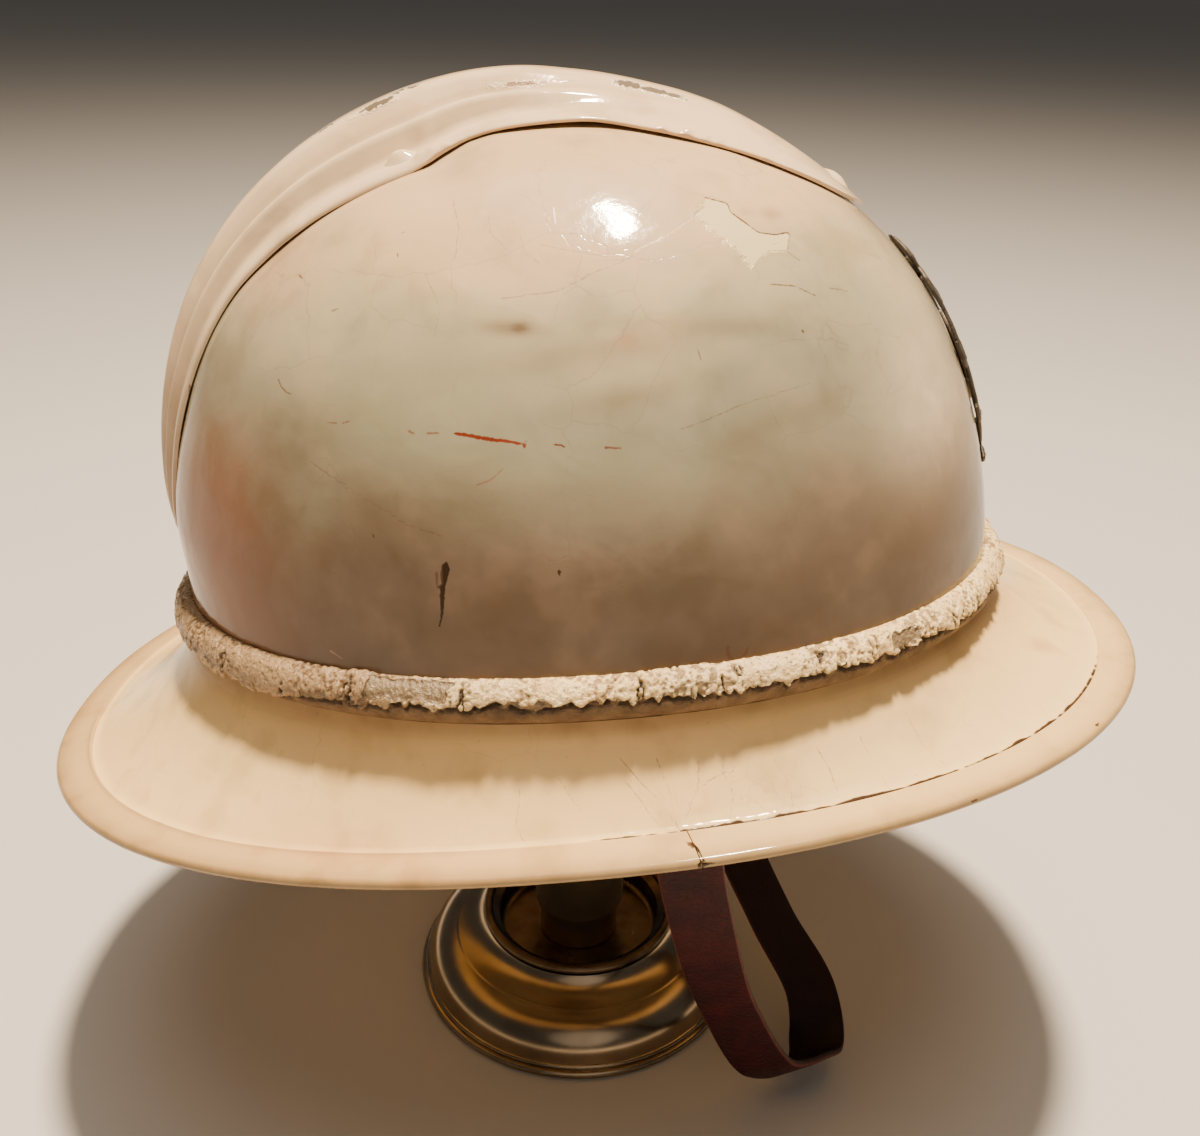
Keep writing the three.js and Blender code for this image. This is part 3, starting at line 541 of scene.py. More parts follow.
def marked(tree, place, colour, relief):
    """Lays a piece's own stains, strokes and chips over its paint colour and its relief."""
    cloud = plus(tree, 0.45, lumps(tree, place, 8, 4, 0.55, 0.1))
    for kind, stain_colour, most in (("dark", tint(92, 68, 44), 0.85), ("grey", tint(170, 164, 132), 0.8),
                                     ("warm", tint(186, 108, 70), 0.75), ("pale", tint(236, 212, 182), 0.85)):
        amount = reckon(tree, "MINIMUM", times(tree, stored(tree, "stain_" + kind), cloud), most)
        colour = blend(tree, amount, colour, stain_colour)
    ragged = times(tree, minus(tree, lumps(tree, place, 1.2, 3), 0.5), 1.4)
    peel = band(tree, plus(tree, stored(tree, "peeled"), ragged), PATCH_REACH - 0.3, PATCH_REACH + 0.3)
    colour = blend(tree, times(tree, peel, 0.8), colour, tint(224, 208, 162))
    relief = minus(tree, relief, times(tree, peel, 0.3))
    fray = times(tree, minus(tree, lumps(tree, place, 0.9), 0.5), 0.6)
    half = plus(tree, stored(tree, "mark_half"), fray)
    inside = minus(tree, half, reckon(tree, "ABSOLUTE", stored(tree, "mark_side")))
    stroke = times(tree, band(tree, inside, -0.12, 0.12), stored(tree, "mark_strength"))
    stroke_colour = ramp(tree, stored(tree, "mark_tone"), [(0, DARK_MARK), (0.5, RUST_MARK), (1, PALE_MARK)])
    inside = minus(tree, stored(tree, "patch_depth"), PATCH_REACH)
    depth = plus(tree, inside, times(tree, ragged, 1.6))
    patch = times(tree, band(tree, depth, 0, 0.3), band(tree, inside, -1.5, -0.8))
    rim = times(tree, band(tree, depth, -0.5, 0), band(tree, depth, 0.5, 0.1), band(tree, inside, -1.5, -0.8))
    patch_colour = ramp(tree, stored(tree, "patch_tone"),
                        [(0, DARK_MARK), (0.3, tint(98, 92, 80)), (0.6, tint(190, 140, 110)), (1, PALE_MARK)])
    colour = blend(tree, times(tree, patch, 0.88), colour, patch_colour)
    colour = blend(tree, times(tree, rim, 0.5), colour, PALE_MARK)
    colour = blend(tree, stroke, colour, stroke_colour)
    # painted shade in the split along the binding's inner edge
    colour = blend(tree, stored(tree, "groove"), colour, tint(84, 64, 46))
    relief = plus(tree, relief, times(tree, rim, 0.15))
    relief = minus(tree, relief, times(tree, patch, 0.12))
    return colour, minus(tree, relief, times(tree, stroke, 0.008)), stroke


def make_paint(name, tones, low, high, cracked=1.0, marks=True):
    """Old glossy cream paint. tones run from the height low to the height high."""
    material, tree, shader, place = start_finish(name, HELMET)
    wide = lumps(tree, place, 46, 3, 0.5, 0.3)
    cloudy = lumps(tree, place, 16, 3, 0.55, 0.15)
    height = put(tree, "SeparateXYZ", {0: place}).outputs["Z"]
    spread = (high - low) * 0.5
    shifted = plus(tree, height, times(tree, minus(tree, wide, 0.5), spread))
    share = put(tree, "MapRange", {"Value": shifted, "From Min": low, "From Max": high}).outputs["Result"]
    colour = ramp(tree, share, tones)
    browner = times(tree, band(tree, cloudy, 0.48, 0.72), 0.26)
    colour = blend(tree, browner, colour, tint(160, 148, 114), "MULTIPLY")
    rosier = times(tree, band(tree, cloudy, 0.5, 0.3), 0.09)
    colour = blend(tree, rosier, colour, tint(228, 190, 158))
    # hairlines: the edges of warped cells, only where the paint has crazed
    warp = put(tree, "TexNoise", {"Vector": place, "Scale": 1 / 9, "Detail": 3.0}).outputs["Color"]
    moved = put(tree, "VectorMath", {0: warp, 1: (7.0, 7.0, 7.0), 2: place}, operation="MULTIPLY_ADD")
    cells = put(tree, "TexVoronoi", {"Vector": moved.outputs[0], "Scale": 1 / 19}, feature="DISTANCE_TO_EDGE")
    crazed = band(tree, lumps(tree, place, 24, 2), 0.42, 0.6)
    hairline = times(tree, band(tree, cells.outputs["Distance"], 0.009, 0.003), crazed)
    hairline = times(tree, hairline, 0.22 * cracked)
    colour = blend(tree, hairline, colour, tint(110, 95, 76))
    specks = band(tree, lumps(tree, place, 1.5, 2, 0.5), 0.72, 0.78)
    colour = blend(tree, times(tree, specks, 0.25), colour, tint(130, 112, 88))
    creases = times(tree, lumps(tree, place, 19, 2, 0.45, 0.6), 0.55)
    peel = times(tree, lumps(tree, place, 1.3, 2), 0.03)
    relief = plus(tree, creases, peel)
    relief = minus(tree, relief, times(tree, hairline, 0.04))
    worn = times(tree, lumps(tree, place, 8, 4, 0.65), 0.14)
    gloss = plus(tree, worn, 0.03)
    gloss = plus(tree, gloss, times(tree, stored(tree, "dust"), 0.5))
    if marks:
        colour, relief, stroke = marked(tree, place, colour, relief)
        gloss = plus(tree, gloss, times(tree, stroke, 0.08))
    set_surface(tree, shader, colour, gloss)
    shader.inputs["Specular IOR Level"].default_value = 0.35
    set_relief(tree, shader, relief, 0.8)
    return material


# The dome's colour darkens from cream at the crown to brown at the foot: partly grime, partly painted shade
# and a painted reflection of a dark surround.
dome_tones = [
    (0.0, tint(122, 100, 80)), (0.1, tint(115, 96, 76)), (0.22, tint(122, 106, 90)),
    (0.38, tint(133, 119, 99)), (0.55, tint(149, 145, 122)), (0.72, tint(177, 165, 134)),
    (0.88, tint(208, 177, 136)),
]
dome_paint = make_paint("dome paint", dome_tones, 0, DOME_HEIGHT)

dome = make_piece("helmet_dome", dome_rings, place=HELMET)
dome_points = dome_rings.reshape(-1, 3)
first_outer = dome_points.shape[0] - outer.size // 3
outside = np.arange(len(dome_points)) >= first_outer
right_side = (dome_points[:, 1] < 0) & outside
record_values(dome, **draw_strokes(dome_points, unit(dome_points), DOME_STROKES, right_side, [0, 2]))
seen_side = smooth_step(-dome_points[:, 1], 0, 40) * outside
record_values(dome, **draw_stains(dome_points, DOME_STAINS, seen_side, [0, 2]))
peel_depth, peel_gaps = outline_depth(dome_points[:, [0, 2]], PEELED)
clean, soft = peel_gaps[:SOFT_SIDE].min(0), peel_gaps[SOFT_SIDE:].min(0)
peel_depth /= 0.25 + 2.2 * smooth_step(clean / (clean + soft + 0.01), 0.3, 0.8)
peel_depth = np.where(right_side, np.clip(peel_depth, -PATCH_REACH, PATCH_REACH), -PATCH_REACH)
record_values(dome, peeled=peel_depth + PATCH_REACH)
dome.data.materials.append(dome_paint)
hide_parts("dome")
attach(dome, "root")

# ---------------------------------------------------------------- visor and neck guard
# The brim is two steel plates, the visor in front and the longer neck guard behind, riveted inside the
# dome's foot and butted at each side. Each flares steeply, then flattens towards its edge. The paint
# over the joint has cracked like dried mud.
GAP = 0.3
BRIM_LENGTH, BRIM_WIDTH, BRIM_EXPONENT, BRIM_CENTRE = 150.0, 113.5, 2.19, -1.3  # the first two are halves
BRIM_DROP, BRIM_FRONT_RISE, BRIM_END_RISE = 25.1, 6.1, -1.5
PLATE_OUT, PLATE_DOWN = -0.1, 0.9  # where the plate begins, from the foot of the dome
SEAM_X = 19.6
BINDING_WIDTH, BINDING_FALL, LEAF, HEM = 10.0, 1.5, 0.6, 8.0
FLARE_COLUMNS, LIP_COLUMNS, TUCK_COLUMNS = 30, 3, 4  # points across a plate's upper face


def brim_section(angle):
    """The brim at angles of the plan: a way to place (out, up) pairs, the fold line and the edge."""
    foot = oval(angle, DOME_LENGTH + GAP, DOME_WIDTH + GAP)
    edge = oval(angle, BRIM_LENGTH, BRIM_WIDTH, BRIM_EXPONENT)
    edge[:, 0] += BRIM_CENTRE
    reach = np.linalg.norm(edge - foot, axis=1)
    outward = (edge - foot) / reach[:, None]
    edge_up = BRIM_FRONT_RISE * np.cos(angle) + BRIM_END_RISE * np.cos(2 * angle) - BRIM_DROP
    fold_out, fold_up = reach - BINDING_WIDTH, edge_up + BINDING_FALL

    def place(out, up):
        plan = foot[:, None, :] + outward[:, None, :] * out[:, :, None]
        return np.concatenate([plan, up[:, :, None]], axis=2)

    return place, fold_out[:, None], fold_up[:, None], reach[:, None], edge_up[:, None]


def seam_angle(shift):
    """The angle of the plan where the brim's edge crosses the joint line."""
    low, high = 0.0, math.pi / 2
    for _ in range(40):
        middle_angle = (low + high) / 2
        if oval(middle_angle, BRIM_LENGTH, BRIM_WIDTH, BRIM_EXPONENT)[0] + BRIM_CENTRE > SEAM_X:
            low = middle_angle
        else:
            high = middle_angle
    return low + shift / BRIM_LENGTH


# Where the crack along the binding gapes: x, half the length and how much wider.
GAPING = [(25, 7, 0.3), (32.5, 2.5, 0.6), (45, 6, 0.5), (66, 6, 0.6), (82, 4, 0.2),
          (107, 2, 0.5), (120, 8, 0.1)]


def split_width(angle):
    """How far the paint along the binding's inner edge has split open, in millimetres."""
    foot = oval(angle, BRIM_LENGTH, BRIM_WIDTH, BRIM_EXPONENT)
    along = np.column_stack([foot, np.zeros(len(foot))])
    right_front = smooth_step(foot[:, 0], -8, 4) * (foot[:, 1] < 0)
    opened = 0.2 + 0.16 * rough(along, 3, 7) + 0.12 * rough(along, 1.2, 8)
    for x, half, wider in GAPING:
        near = smooth_step(np.abs(foot[:, 0] - x), half * 1.2, half * 0.5)
        opened += wider * near * (0.8 + 0.5 * rough(along, 2.2, 6))
    return right_front * np.clip(opened, 0.06, 1.1) * smooth_step(foot[:, 0], 146, 136)


def bowed(share, start, bend, end):
    """A curve from start to end, drawn towards bend."""
    return (1 - share) ** 2 * start + 2 * share * (1 - share) * bend + share**2 * end


def plate_rings(start, end, count):
    """One plate of the brim, as sections of its upper face and its underside."""
    angle = np.linspace(start, end, count)
    place, fold_out, fold_up, reach, edge_up = brim_section(angle)
    sink = LEAF + GAP
    step = 0.3
    split = split_width(angle)[:, None]
    flare = np.linspace(0, 1, FLARE_COLUMNS)[None]
    end_out, end_up = fold_out - 1.2, fold_up - step
    start_out, start_up = np.full_like(fold_out, PLATE_OUT), np.full_like(fold_out, -PLATE_DOWN)
    bend_out = start_out + (fold_out - start_out) * 0.3
    bend_up = start_up + (fold_up - sink - start_up) * 0.62
    out = bowed(flare, start_out, bend_out, end_out)
    up = bowed(flare, start_up, bend_up, end_up)
    lip = np.array([0.55, 0.25, 0.08])[None]
    lip_out = fold_out + GAP - lip - split
    lip_up = fold_up - step - np.array([0.02, 0.03, 0.1])[None] + 0 * split
    tuck = np.array([0.03, 0.3, 0.6, 1])[None] * HEM / BINDING_WIDTH
    tuck_out = fold_out + GAP - split * (tuck < 0.05) + (reach - fold_out) * tuck
    tuck_up = fold_up - sink + (edge_up - fold_up) * tuck
    top_out = np.concatenate([out, lip_out, tuck_out], axis=1)
    top_up = np.concatenate([up, lip_up, tuck_up], axis=1)
    low_up = bowed(flare, start_up, bend_up, fold_up - sink)
    under_out = np.concatenate([out, tuck_out[:, 1:]], axis=1)[:, ::-3]
    under_up = np.concatenate([low_up, tuck_up[:, 1:]], axis=1)[:, ::-3] - STEEL
    top, under = place(top_out, top_up), place(under_out - 0.35, under_up)
    swell = 0.1 * rough(top, 25, 4) + 0.04 * rough(top, 7, 5)
    swell *= smooth_step(top_out, 1.5, 6) * smooth_step(fold_out - top_out, 0.2, 3)
    curled = smooth_step(np.abs(fold_out - 1.3 - top_out), 2.2, 0.3) * smooth_step(split, 0.1, 0.5)
    before_tuck = np.arange(top_out.shape[1]) < FLARE_COLUMNS + LIP_COLUMNS
    swell += curled * (0.22 + 0.2 * rough(top, 3, 28)) * before_tuck
    top[:, :, 2] += swell
    return np.concatenate([top, under], axis=1)


# Cracks on the brim's right side, in the dome strokes' order, with (x, y) places in plan.
BRIM_STROKES = [
    (0.07, 0.7, 0.2, 0.45, [(-9, -94.5), (-6, -97.5), (-3.5, -99), (0.5, -102)]),
    (0.07, 0.7, 0.2, 0.45, [(5, -95.5), (8.5, -98), (12, -101.5)]),
    (0.1, 0.8, 0.2, 0.5, [(4, -93), (8, -95.5), (13.5, -98.5), (17, -104)]),
    (0.12, 1, 0.1, 0.45, [(21.5, -93), (20.5, -96.5), (17.5, -100.5)]),
    (0.09, 0.7, 0.2, 0.5, [(21.5, -96), (25.5, -94.5), (29, -94)]),
    (0.1, 0.7, 0.2, 0.5, [(31, -97), (33, -98), (35.5, -100)]),
    (0.09, 0.6, 0.2, 0.5, [(48, -89), (50.5, -92), (52, -97)]),
    (0.06, 0.6, 0.2, 0.5, [(12, -93), (15, -97), (14.5, -101)]),
    (0.06, 0.6, 0.2, 0.5, [(26.5, -93), (28.5, -97), (27, -101)]),
    (0.06, 0.6, 0.2, 0.5, [(38, -91.5), (41, -95), (41.5, -100)]),
    (0.06, 0.6, 0.2, 0.45, [(58, -85), (61.5, -90), (63, -94)]),
    (0.06, 0.6, 0.2, 0.45, [(70, -78), (73.5, -84), (77.5, -87.5)]),
    (0.1, 0.6, 0.2, 0.4, [(-18, -95), (-19, -99.5), (-17, -102.5)]),
]
# Its stains, in the dome stains' order, with the middle as (x, y).
BRIM_STAINS = [
    ((116.5, -41), 3.4, 2, 30, "warm", 0.2),
    ((-60, -96), 30, 6, 160, "warm", 0.25),
    ((60, -84), 60, 9, 28, "grey", 0.25),
]
# The brim's paint is a little darker next to the dome's foot, as painted shade under the welt.
brim_tones = [
    (0.0, tint(250, 212, 144)), (0.3, tint(255, 219, 151)), (0.55, tint(255, 219, 151)),
    (0.8, tint(246, 208, 143)), (0.95, tint(232, 192, 134)),
]
brim_paint = make_paint("brim paint", brim_tones, -34, 0, cracked=0.5)

JOINT_LAP, JOINT_STEP = 0.35, 0.05
lap_front, lap_rear = seam_angle(JOINT_LAP), seam_angle(-JOINT_LAP)
plates = [
    ("helmet_visor", "visor", -lap_front, lap_front, 560, JOINT_STEP),
    ("helmet_neck_guard", "neck_guard", lap_rear, TURN - lap_rear, 640, 0),
]
for name, cad_name, start, end, count, step in plates:
    rings = plate_rings(start, end, count)
    rings[:, :, 2] += step
    plate = make_piece(name, rings, place=HELMET, crease=50)
    points = rings.reshape(-1, 3)
    upright = np.tile([0.0, 0.0, 1.0], (len(points), 1))
    right_brim = points[:, 1] < 0
    record_values(plate, **draw_strokes(points, upright, BRIM_STROKES, right_brim, [0, 1]))
    opened = smooth_step(split_width(np.linspace(start, end, count)), 0.05, 0.2)[:, None]
    within = np.arange(rings.shape[1])[None]
    upper = FLARE_COLUMNS + LIP_COLUMNS + TUCK_COLUMNS
    # The split along the binding's inner edge is darkened as painted shade.
    record_values(plate, groove=opened * ((within > FLARE_COLUMNS) & (within <= upper)))
    # Next to the dome's foot the brim is rougher with dust and darkened with painted shade under the welt.
    dusty = np.repeat(smooth_step(within, 5, 0), len(rings), axis=0) * (within < FLARE_COLUMNS)
    record_values(plate, dust=dusty, stain_dark=0.4 * dusty)
    stains = draw_stains(points, BRIM_STAINS, right_brim, [0, 1])
    stains.pop("stain_dark")
    record_values(plate, **stains)
    plate.data.materials.append(brim_paint)
    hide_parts(cad_name)
    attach(plate, "root")

# ---------------------------------------------------------------- bindings
# A strip of thin sheet, folded over the brim's edge and crimped, one along the visor and one along the
# neck guard. It carries the same paint, a little yellower, rubbed through in specks along the fold.
binding_tones = [(0.0, tint(204, 168, 112)), (0.5, tint(218, 180, 122)), (1.0, tint(240, 204, 138))]
binding_paint = make_paint("binding paint", binding_tones, -34, -16, cracked=0.3)
# Chips and the dark nick at the joint, in the same order as the brim's cracks.
BINDING_STROKES = [
    (0.35, 1, 0, 1, [(18, -107.5), (19, -109.5), (19.5, -112.5)]),
    (0.2, 0.5, 0.1, 0.8, [(17, -107), (18, -109.5)]),
    (0.8, 0.4, 0, 1, [(19, -113), (23.5, -113)]),
    (0.5, 0.5, 0.1, 0.9, [(118, -72.5), (119, -71.5)]),
    (0.5, 0.5, 0.1, 0.8, [(98, -89.5), (99.5, -88.5)]),
    (0.4, 0.5, 0.1, 0.8, [(80.5, -98.5), (82, -98)]),
    (0.4, 0.5, 0.1, 0.8, [(43, -110.5), (44.5, -110)]),
]


OUTER_COLUMNS = 32  # points across a binding's upper leaf and its fold


def binding_rings(start, end, count):
    """One binding, as sections of the strip folded over the brim's edge."""
    angle = np.linspace(start, end, count)
    place, fold_out, fold_up, reach, edge_up = brim_section(angle)
    thickness = STEEL + 2 * GAP + 2 * LEAF
    bend = thickness / 2
    length = np.hypot(reach - fold_out, edge_up - fold_up)
    run_out, run_up = (reach - fold_out) / length, (edge_up - fold_up) / length
    roll = 0.5  # how far the leaf's edge rounds over
    leaf_edge = [(GAP, LEAF), (GAP, 0.42), (GAP + 0.04, 0.2), (GAP + 0.2, 0.06), (GAP + roll, 0.0)]
    forward = [np.full_like(length, near) for near, _ in leaf_edge]
    down = [np.full_like(length, depth) for _, depth in leaf_edge]
    for share in np.linspace(0.06, 1, 12):
        forward.append(GAP + roll + (length - bend - GAP - roll) * share)
        down.append(np.full_like(length, -0.16 * math.sin(math.pi * share)))
    for swing in np.linspace(0, math.pi, 15)[1:]:
        forward.append(length - bend + bend * math.sin(swing))
        down.append(np.full_like(length, bend - bend * math.cos(swing)))
    for share in (0.66, 0.33, 0):
        forward.append(2 + (length - bend - 2) * share)
        down.append(np.full_like(length, thickness))
    tip = length - LEAF
    for near, depth in ((2 + 0 * length, thickness - LEAF), (tip, thickness - LEAF), (tip, LEAF)):
        forward.append(near)
        down.append(np.full_like(length, depth))
    forward, down = np.concatenate(forward, axis=1), np.concatenate(down, axis=1)
    out = fold_out + run_out * forward + run_up * down
    up = fold_up + run_up * forward - run_out * down
    rings = place(out, up)
    wave = 0.1 * rough(rings, 16, 9) + 0.05 * rough(rings, 5, 10)
    rings[:, :, 2] += wave * smooth_step(forward, 0.5, 3) * (down < thickness - LEAF)
    beaded = smooth_step(rings[:, :, 0], 0, -40) * smooth_step(rings[:, :, 1], -8, -20)
    bead = 0.42 * np.exp(-(((forward - 0.75) / 0.45) ** 2)) * (down < LEAF)
    rings[:, :, 2] += beaded * bead * (1 + 0.3 * rough(rings, 7, 29))
    return rings


hairline_joint = 0.12
seam_front, seam_rear = seam_angle(-hairline_joint), seam_angle(hairline_joint)
bindings = [
    ("helmet_visor_binding", "visor_binding", -seam_front, seam_front, 480),
    ("helmet_neck_binding", "neck_binding", seam_rear, TURN - seam_rear, 560),
]
for name, cad_name, start, end, count in bindings:
    rings = binding_rings(start, end, count)
    binding = make_piece(name, rings, place=HELMET, crease=50)
    points = rings.reshape(-1, 3)
    upright = np.tile([0.0, 0.0, 1.0], (len(points), 1))
    right_brim = points[:, 1] < 0
    record_values(binding, **draw_strokes(points, upright, BINDING_STROKES, right_brim, [0, 1]))
    opened = smooth_step(split_width(np.linspace(start, end, count)), 0.05, 0.2)[:, None]
    # The split along the binding's inner edge is darkened as painted shade.
    record_values(binding, groove=opened * (np.arange(rings.shape[1])[None] < 3))
    stains = draw_stains(points, BRIM_STAINS, right_brim, [0, 1])
    within = np.arange(rings.shape[1])
    # Painted shade darkens the binding's outer roll, which faces down and out.
    grubby = smooth_step(within, 9, 20) * (within < OUTER_COLUMNS)
    stains["stain_dark"] = 0.5 * np.tile(grubby, (len(rings), 1))
    record_values(binding, **stains)
    binding.data.materials.append(binding_paint)
    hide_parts(cad_name)
    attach(binding, "root")

# ---------------------------------------------------------------- welt
# A cord laid in the angle between dome and brim and covered with thin leather, stiff with paint. The
# paint lies on its upper half as a thick pebbled skin, cracked across and flaking off; below the skin's
# torn edge the leather shows, smooth and tan.
WELT_DEPTH, WELT_HALF_HEIGHT, WELT_CENTRE = 4.5, 5.7, 4.4
SKIN, SKIN_BED = 0.95, 0.85  # the paint skin, and how far in the leather under it lies
WELT_BITE = 0.55  # how far the two ends of the section run into the dome and the gap
WELT_COLUMNS, WELT_SIDES = 1760, 54
# Stretches where the skin is gone: the middle as (x, y) in plan, half the length, and the band of the
# section it is gone from, in degrees up from the outermost line.
LOST_SKIN = [
    ((-40.5, -86.5), 10.5, 22, 74),
    ((71, -75), 4.2, 12, 50),
    ((53, -84), 1.6, -30, 12),
    ((-16, -92), 6, -30, 20),
    ((-62, -79), 4, -30, 14),
]
# Cracks across the skin, at (x, y) in plan, half the width.
WELT_CRACKS = [(-99, -45, 0.3), (-70, -74, 0.3), (-29, -90.5, 0.24), (4.5, -94, 0.24), (9.5, -93.5, 0.3),
               (27.5, -91.5, 0.3), (31.5, -91, 0.2), (49.5, -85.5, 0.24), (-86, -60, 0.2), (84, -64, 0.2),
               (62, -79, 0.2), (-55, -84.5, 0.2)]
# Raised lumps and a pressed panel in the skin: (x, y), half the length, height.
WELT_LUMPS = [(-52.5, -83.5, 4, 0.45), (18, -91.5, 9, 0.25)]

welt_angle = np.concatenate([np.linspace(0, math.pi, WELT_COLUMNS // 4 + 1)[:-1],
                             np.linspace(math.pi, TURN, WELT_COLUMNS * 3 // 4 + 1)[:-1]])
swing = np.linspace(-90, 90, WELT_SIDES)
welt_flat = oval(welt_angle, DOME_LENGTH + GAP + WELT_DEPTH, DOME_WIDTH + GAP + WELT_DEPTH)
welt_walk = np.column_stack([welt_flat, np.zeros(WELT_COLUMNS)])
on_right = welt_flat[:, 1] < 0


def near_on_welt(x, y, half):
    """1 on a stretch of the welt round a place in plan, 0 away from it."""
    gap = np.hypot(welt_flat[:, 0] - x, welt_flat[:, 1] - y)
    return smooth_step(gap, half * 1.15, half * 0.75)


low_skin = smooth_step(welt_flat[:, 0], -50, -80) * on_right
torn_edge = (8 - 32 * low_skin + 11 * rough(welt_walk, 8, 11) + 10 * rough(welt_walk, 2.6, 12)
             + 10 * rough(welt_walk, 1.1, 13))
angle_grid, swing_grid = np.meshgrid(welt_angle, np.radians(swing), indexing="ij")
swing_degrees = np.degrees(swing_grid)
section_out = GAP - WELT_BITE + (WELT_DEPTH + WELT_BITE) * np.cos(swing_grid)
base_plan = oval(angle_grid, DOME_LENGTH + section_out, DOME_WIDTH + section_out)
base = np.concatenate([base_plan, (WELT_CENTRE + WELT_HALF_HEIGHT * np.sin(swing_grid))[..., None]], axis=2)
ragged_band = swing_degrees + 7 * rough(base, 2, 14) + 4 * rough(base, 0.9, 31)
covered = smooth_step(swing_degrees - torn_edge[:, None], -2, 2)
flaked = np.zeros_like(covered)
for (x, y), half, low, high in LOST_SKIN:
    gap = np.hypot(base[..., 0] - x, base[..., 1] - y)
    gap += 1.6 * rough(base, 3, 32) + 0.7 * rough(base, 1.1, 35)
    within = smooth_step(gap, half + 0.15, half - 0.15)
    within *= smooth_step(ragged_band, low - 2, low + 2) * smooth_step(ragged_band, high + 2, high - 2)
    flaked = np.maximum(flaked, within)
pebbles = smooth_step(rough(base, 0.85, 15) + 0.6 * rough(base, 0.55, 16), -0.6, 0.45)
coarse = smooth_step(rough(welt_walk, 20, 18), 0, 0.4)[:, None]  # where the skin is lumpier
greyed = smooth_step(welt_flat[:, 0], -24, -56) * on_right
busy = smooth_step(rough(base, 7, 33) + 0.5 * rough(base, 3, 34), -0.5, 0.5)
skin = SKIN + (0.2 + 0.3 * busy) * (pebbles - 0.6) + 0.14 * rough(base, 5, 17)
skin += (0.14 + 0.16 * coarse) * rough(base, 2.2, 19)
skin *= 1 - 0.55 * flaked
crack = np.zeros_like(skin)
aside = 1.6 * rough(base, 3, 36) + 0.5 * rough(base, 0.9, 37)  # how far a crack strays to the side
for x, y, half in WELT_CRACKS:
    spot = np.hypot(welt_flat[:, 0] - x, welt_flat[:, 1] - y).argmin()
    away = welt_flat - welt_flat[spot]
    heading = unit(np.roll(welt_flat, -1, 0)[spot] - welt_flat[spot])
    gap = np.abs(np.abs(away @ heading)[:, None] + aside)
    gap += 10 * smooth_step(np.linalg.norm(away, axis=1), 4, 8)[:, None]
    crack = np.maximum(crack, smooth_step(gap, half * 1.7, half * 0.7))
crack *= smooth_step(swing_degrees, -10, 0) * smooth_step(swing_degrees, 80, 66)
skin *= 1 - 0.95 * crack
for x, y, half, height in WELT_LUMPS:
    skin += height * near_on_welt(x, y, half)[:, None] * smooth_step(swing_degrees, 15, 40)
hollow = smooth_step(torn_edge[:, None] - swing_degrees, 20, 3) * (1 - covered)
hollow *= smooth_step(rough(base, 2, 23) + 0.6 * rough(base, 0.8, 20), -0.6, 0)
proud = -SKIN_BED + covered * skin - 0.6 * hollow
proud += (1 - covered) * 0.07 * rough(base, 1.4, 21) + 0.1 * rough(base, 6, 22)
proud[:, [0, -1]] = 0  # the two ends of the section stay where they are
section_normal = np.stack([np.cos(swing_grid) / WELT_DEPTH, np.sin(swing_grid) / WELT_HALF_HEIGHT], -1)
section_normal = unit(section_normal)
welt_out = section_out + proud * section_normal[..., 0]
welt_plan = oval(angle_grid, DOME_LENGTH + welt_out, DOME_WIDTH + welt_out)
welt_up = base[..., 2] + proud * section_normal[..., 1]
welt_rings = np.concatenate([welt_plan, welt_up[..., None]], axis=2)

material, tree, shader, place = start_finish("welt leather and paint", HELMET)
skin_share = band(tree, stored(tree, "skin"), 0.3, 0.6)
flaked_share = band(tree, stored(tree, "flaked"), 0.3, 0.7)
flake_edge = times(tree, skin_share, band(tree, stored(tree, "flaked"), 0.05, 0.3),
                   band(tree, stored(tree, "flaked"), 0.9, 0.5))
mottled = lumps(tree, place, 5, 4, 0.6)
fine = lumps(tree, place, 1.1, 3, 0.6)
paint_colour = ramp(tree, mottled, [(0.3, tint(216, 182, 124)), (0.5, tint(252, 220, 158)),
                                    (0.7, tint(255, 232, 174))])
worn_bare = times(tree, band(tree, stored(tree, "coarse"), 0.3, 0.8), 0.3)
paint_colour = blend(tree, worn_bare, paint_colour, tint(190, 168, 134))
# towards the rear the welt's paint is darker and browner
aged = times(tree, stored(tree, "aged"), plus(tree, 0.55, mottled))
paint_colour = blend(tree, reckon(tree, "MINIMUM", aged, 0.95), paint_colour, tint(162, 134, 100))
# dark specks of random tone, and painted shade in the low spots between the pebbles
pits = reckon(tree, "MAXIMUM", band(tree, fine, 0.46, 0.34), band(tree, stored(tree, "pit"), 0.25, 0.8))
paint_colour = blend(tree, times(tree, pits, 0.72), paint_colour, tint(98, 70, 42))
leather_colour = ramp(tree, mottled, [(0.3, tint(82, 62, 43)), (0.5, tint(106, 84, 60)),
                                      (0.7, tint(130, 106, 78))])
under_flakes = blend(tree, fine, tint(98, 82, 60), tint(158, 136, 104))
paint_colour = blend(tree, flaked_share, paint_colour, under_flakes)
colour = blend(tree, skin_share, leather_colour, paint_colour)
# painted shade along the stepped edges where the skin has flaked off
colour = blend(tree, times(tree, flake_edge, 0.7), colour, tint(70, 50, 34))
# painted shade in the hollow under the skin's torn edge
dirt = times(tree, stored(tree, "hollow"), 0.85)
colour = blend(tree, dirt, colour, tint(52, 38, 27))
colour = blend(tree, stored(tree, "split"), colour, tint(48, 36, 27))
set_surface(tree, shader, colour, minus(tree, 0.62, times(tree, skin_share, 0.4)))
grain = times(tree, lumps(tree, place, 0.7, 3, 0.6), 0.6)
set_relief(tree, shader, grain, 0.8)

welt = make_piece("helmet_welt", welt_rings, joined=True, place=HELMET, crease=80)
# The low spots between the pebbles and the hollow under the torn edge are stored here for their painted
# shade.
record_values(welt, skin=covered, hollow=hollow,
              flaked=flaked, pit=(1 - pebbles) * (0.4 + 0.6 * busy) * covered * (1 - flaked),
              coarse=coarse + 0 * covered, aged=greyed[:, None] + 0 * covered, split=crack * covered)
welt.data.materials.append(material)
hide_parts("welt")
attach(welt, "root")

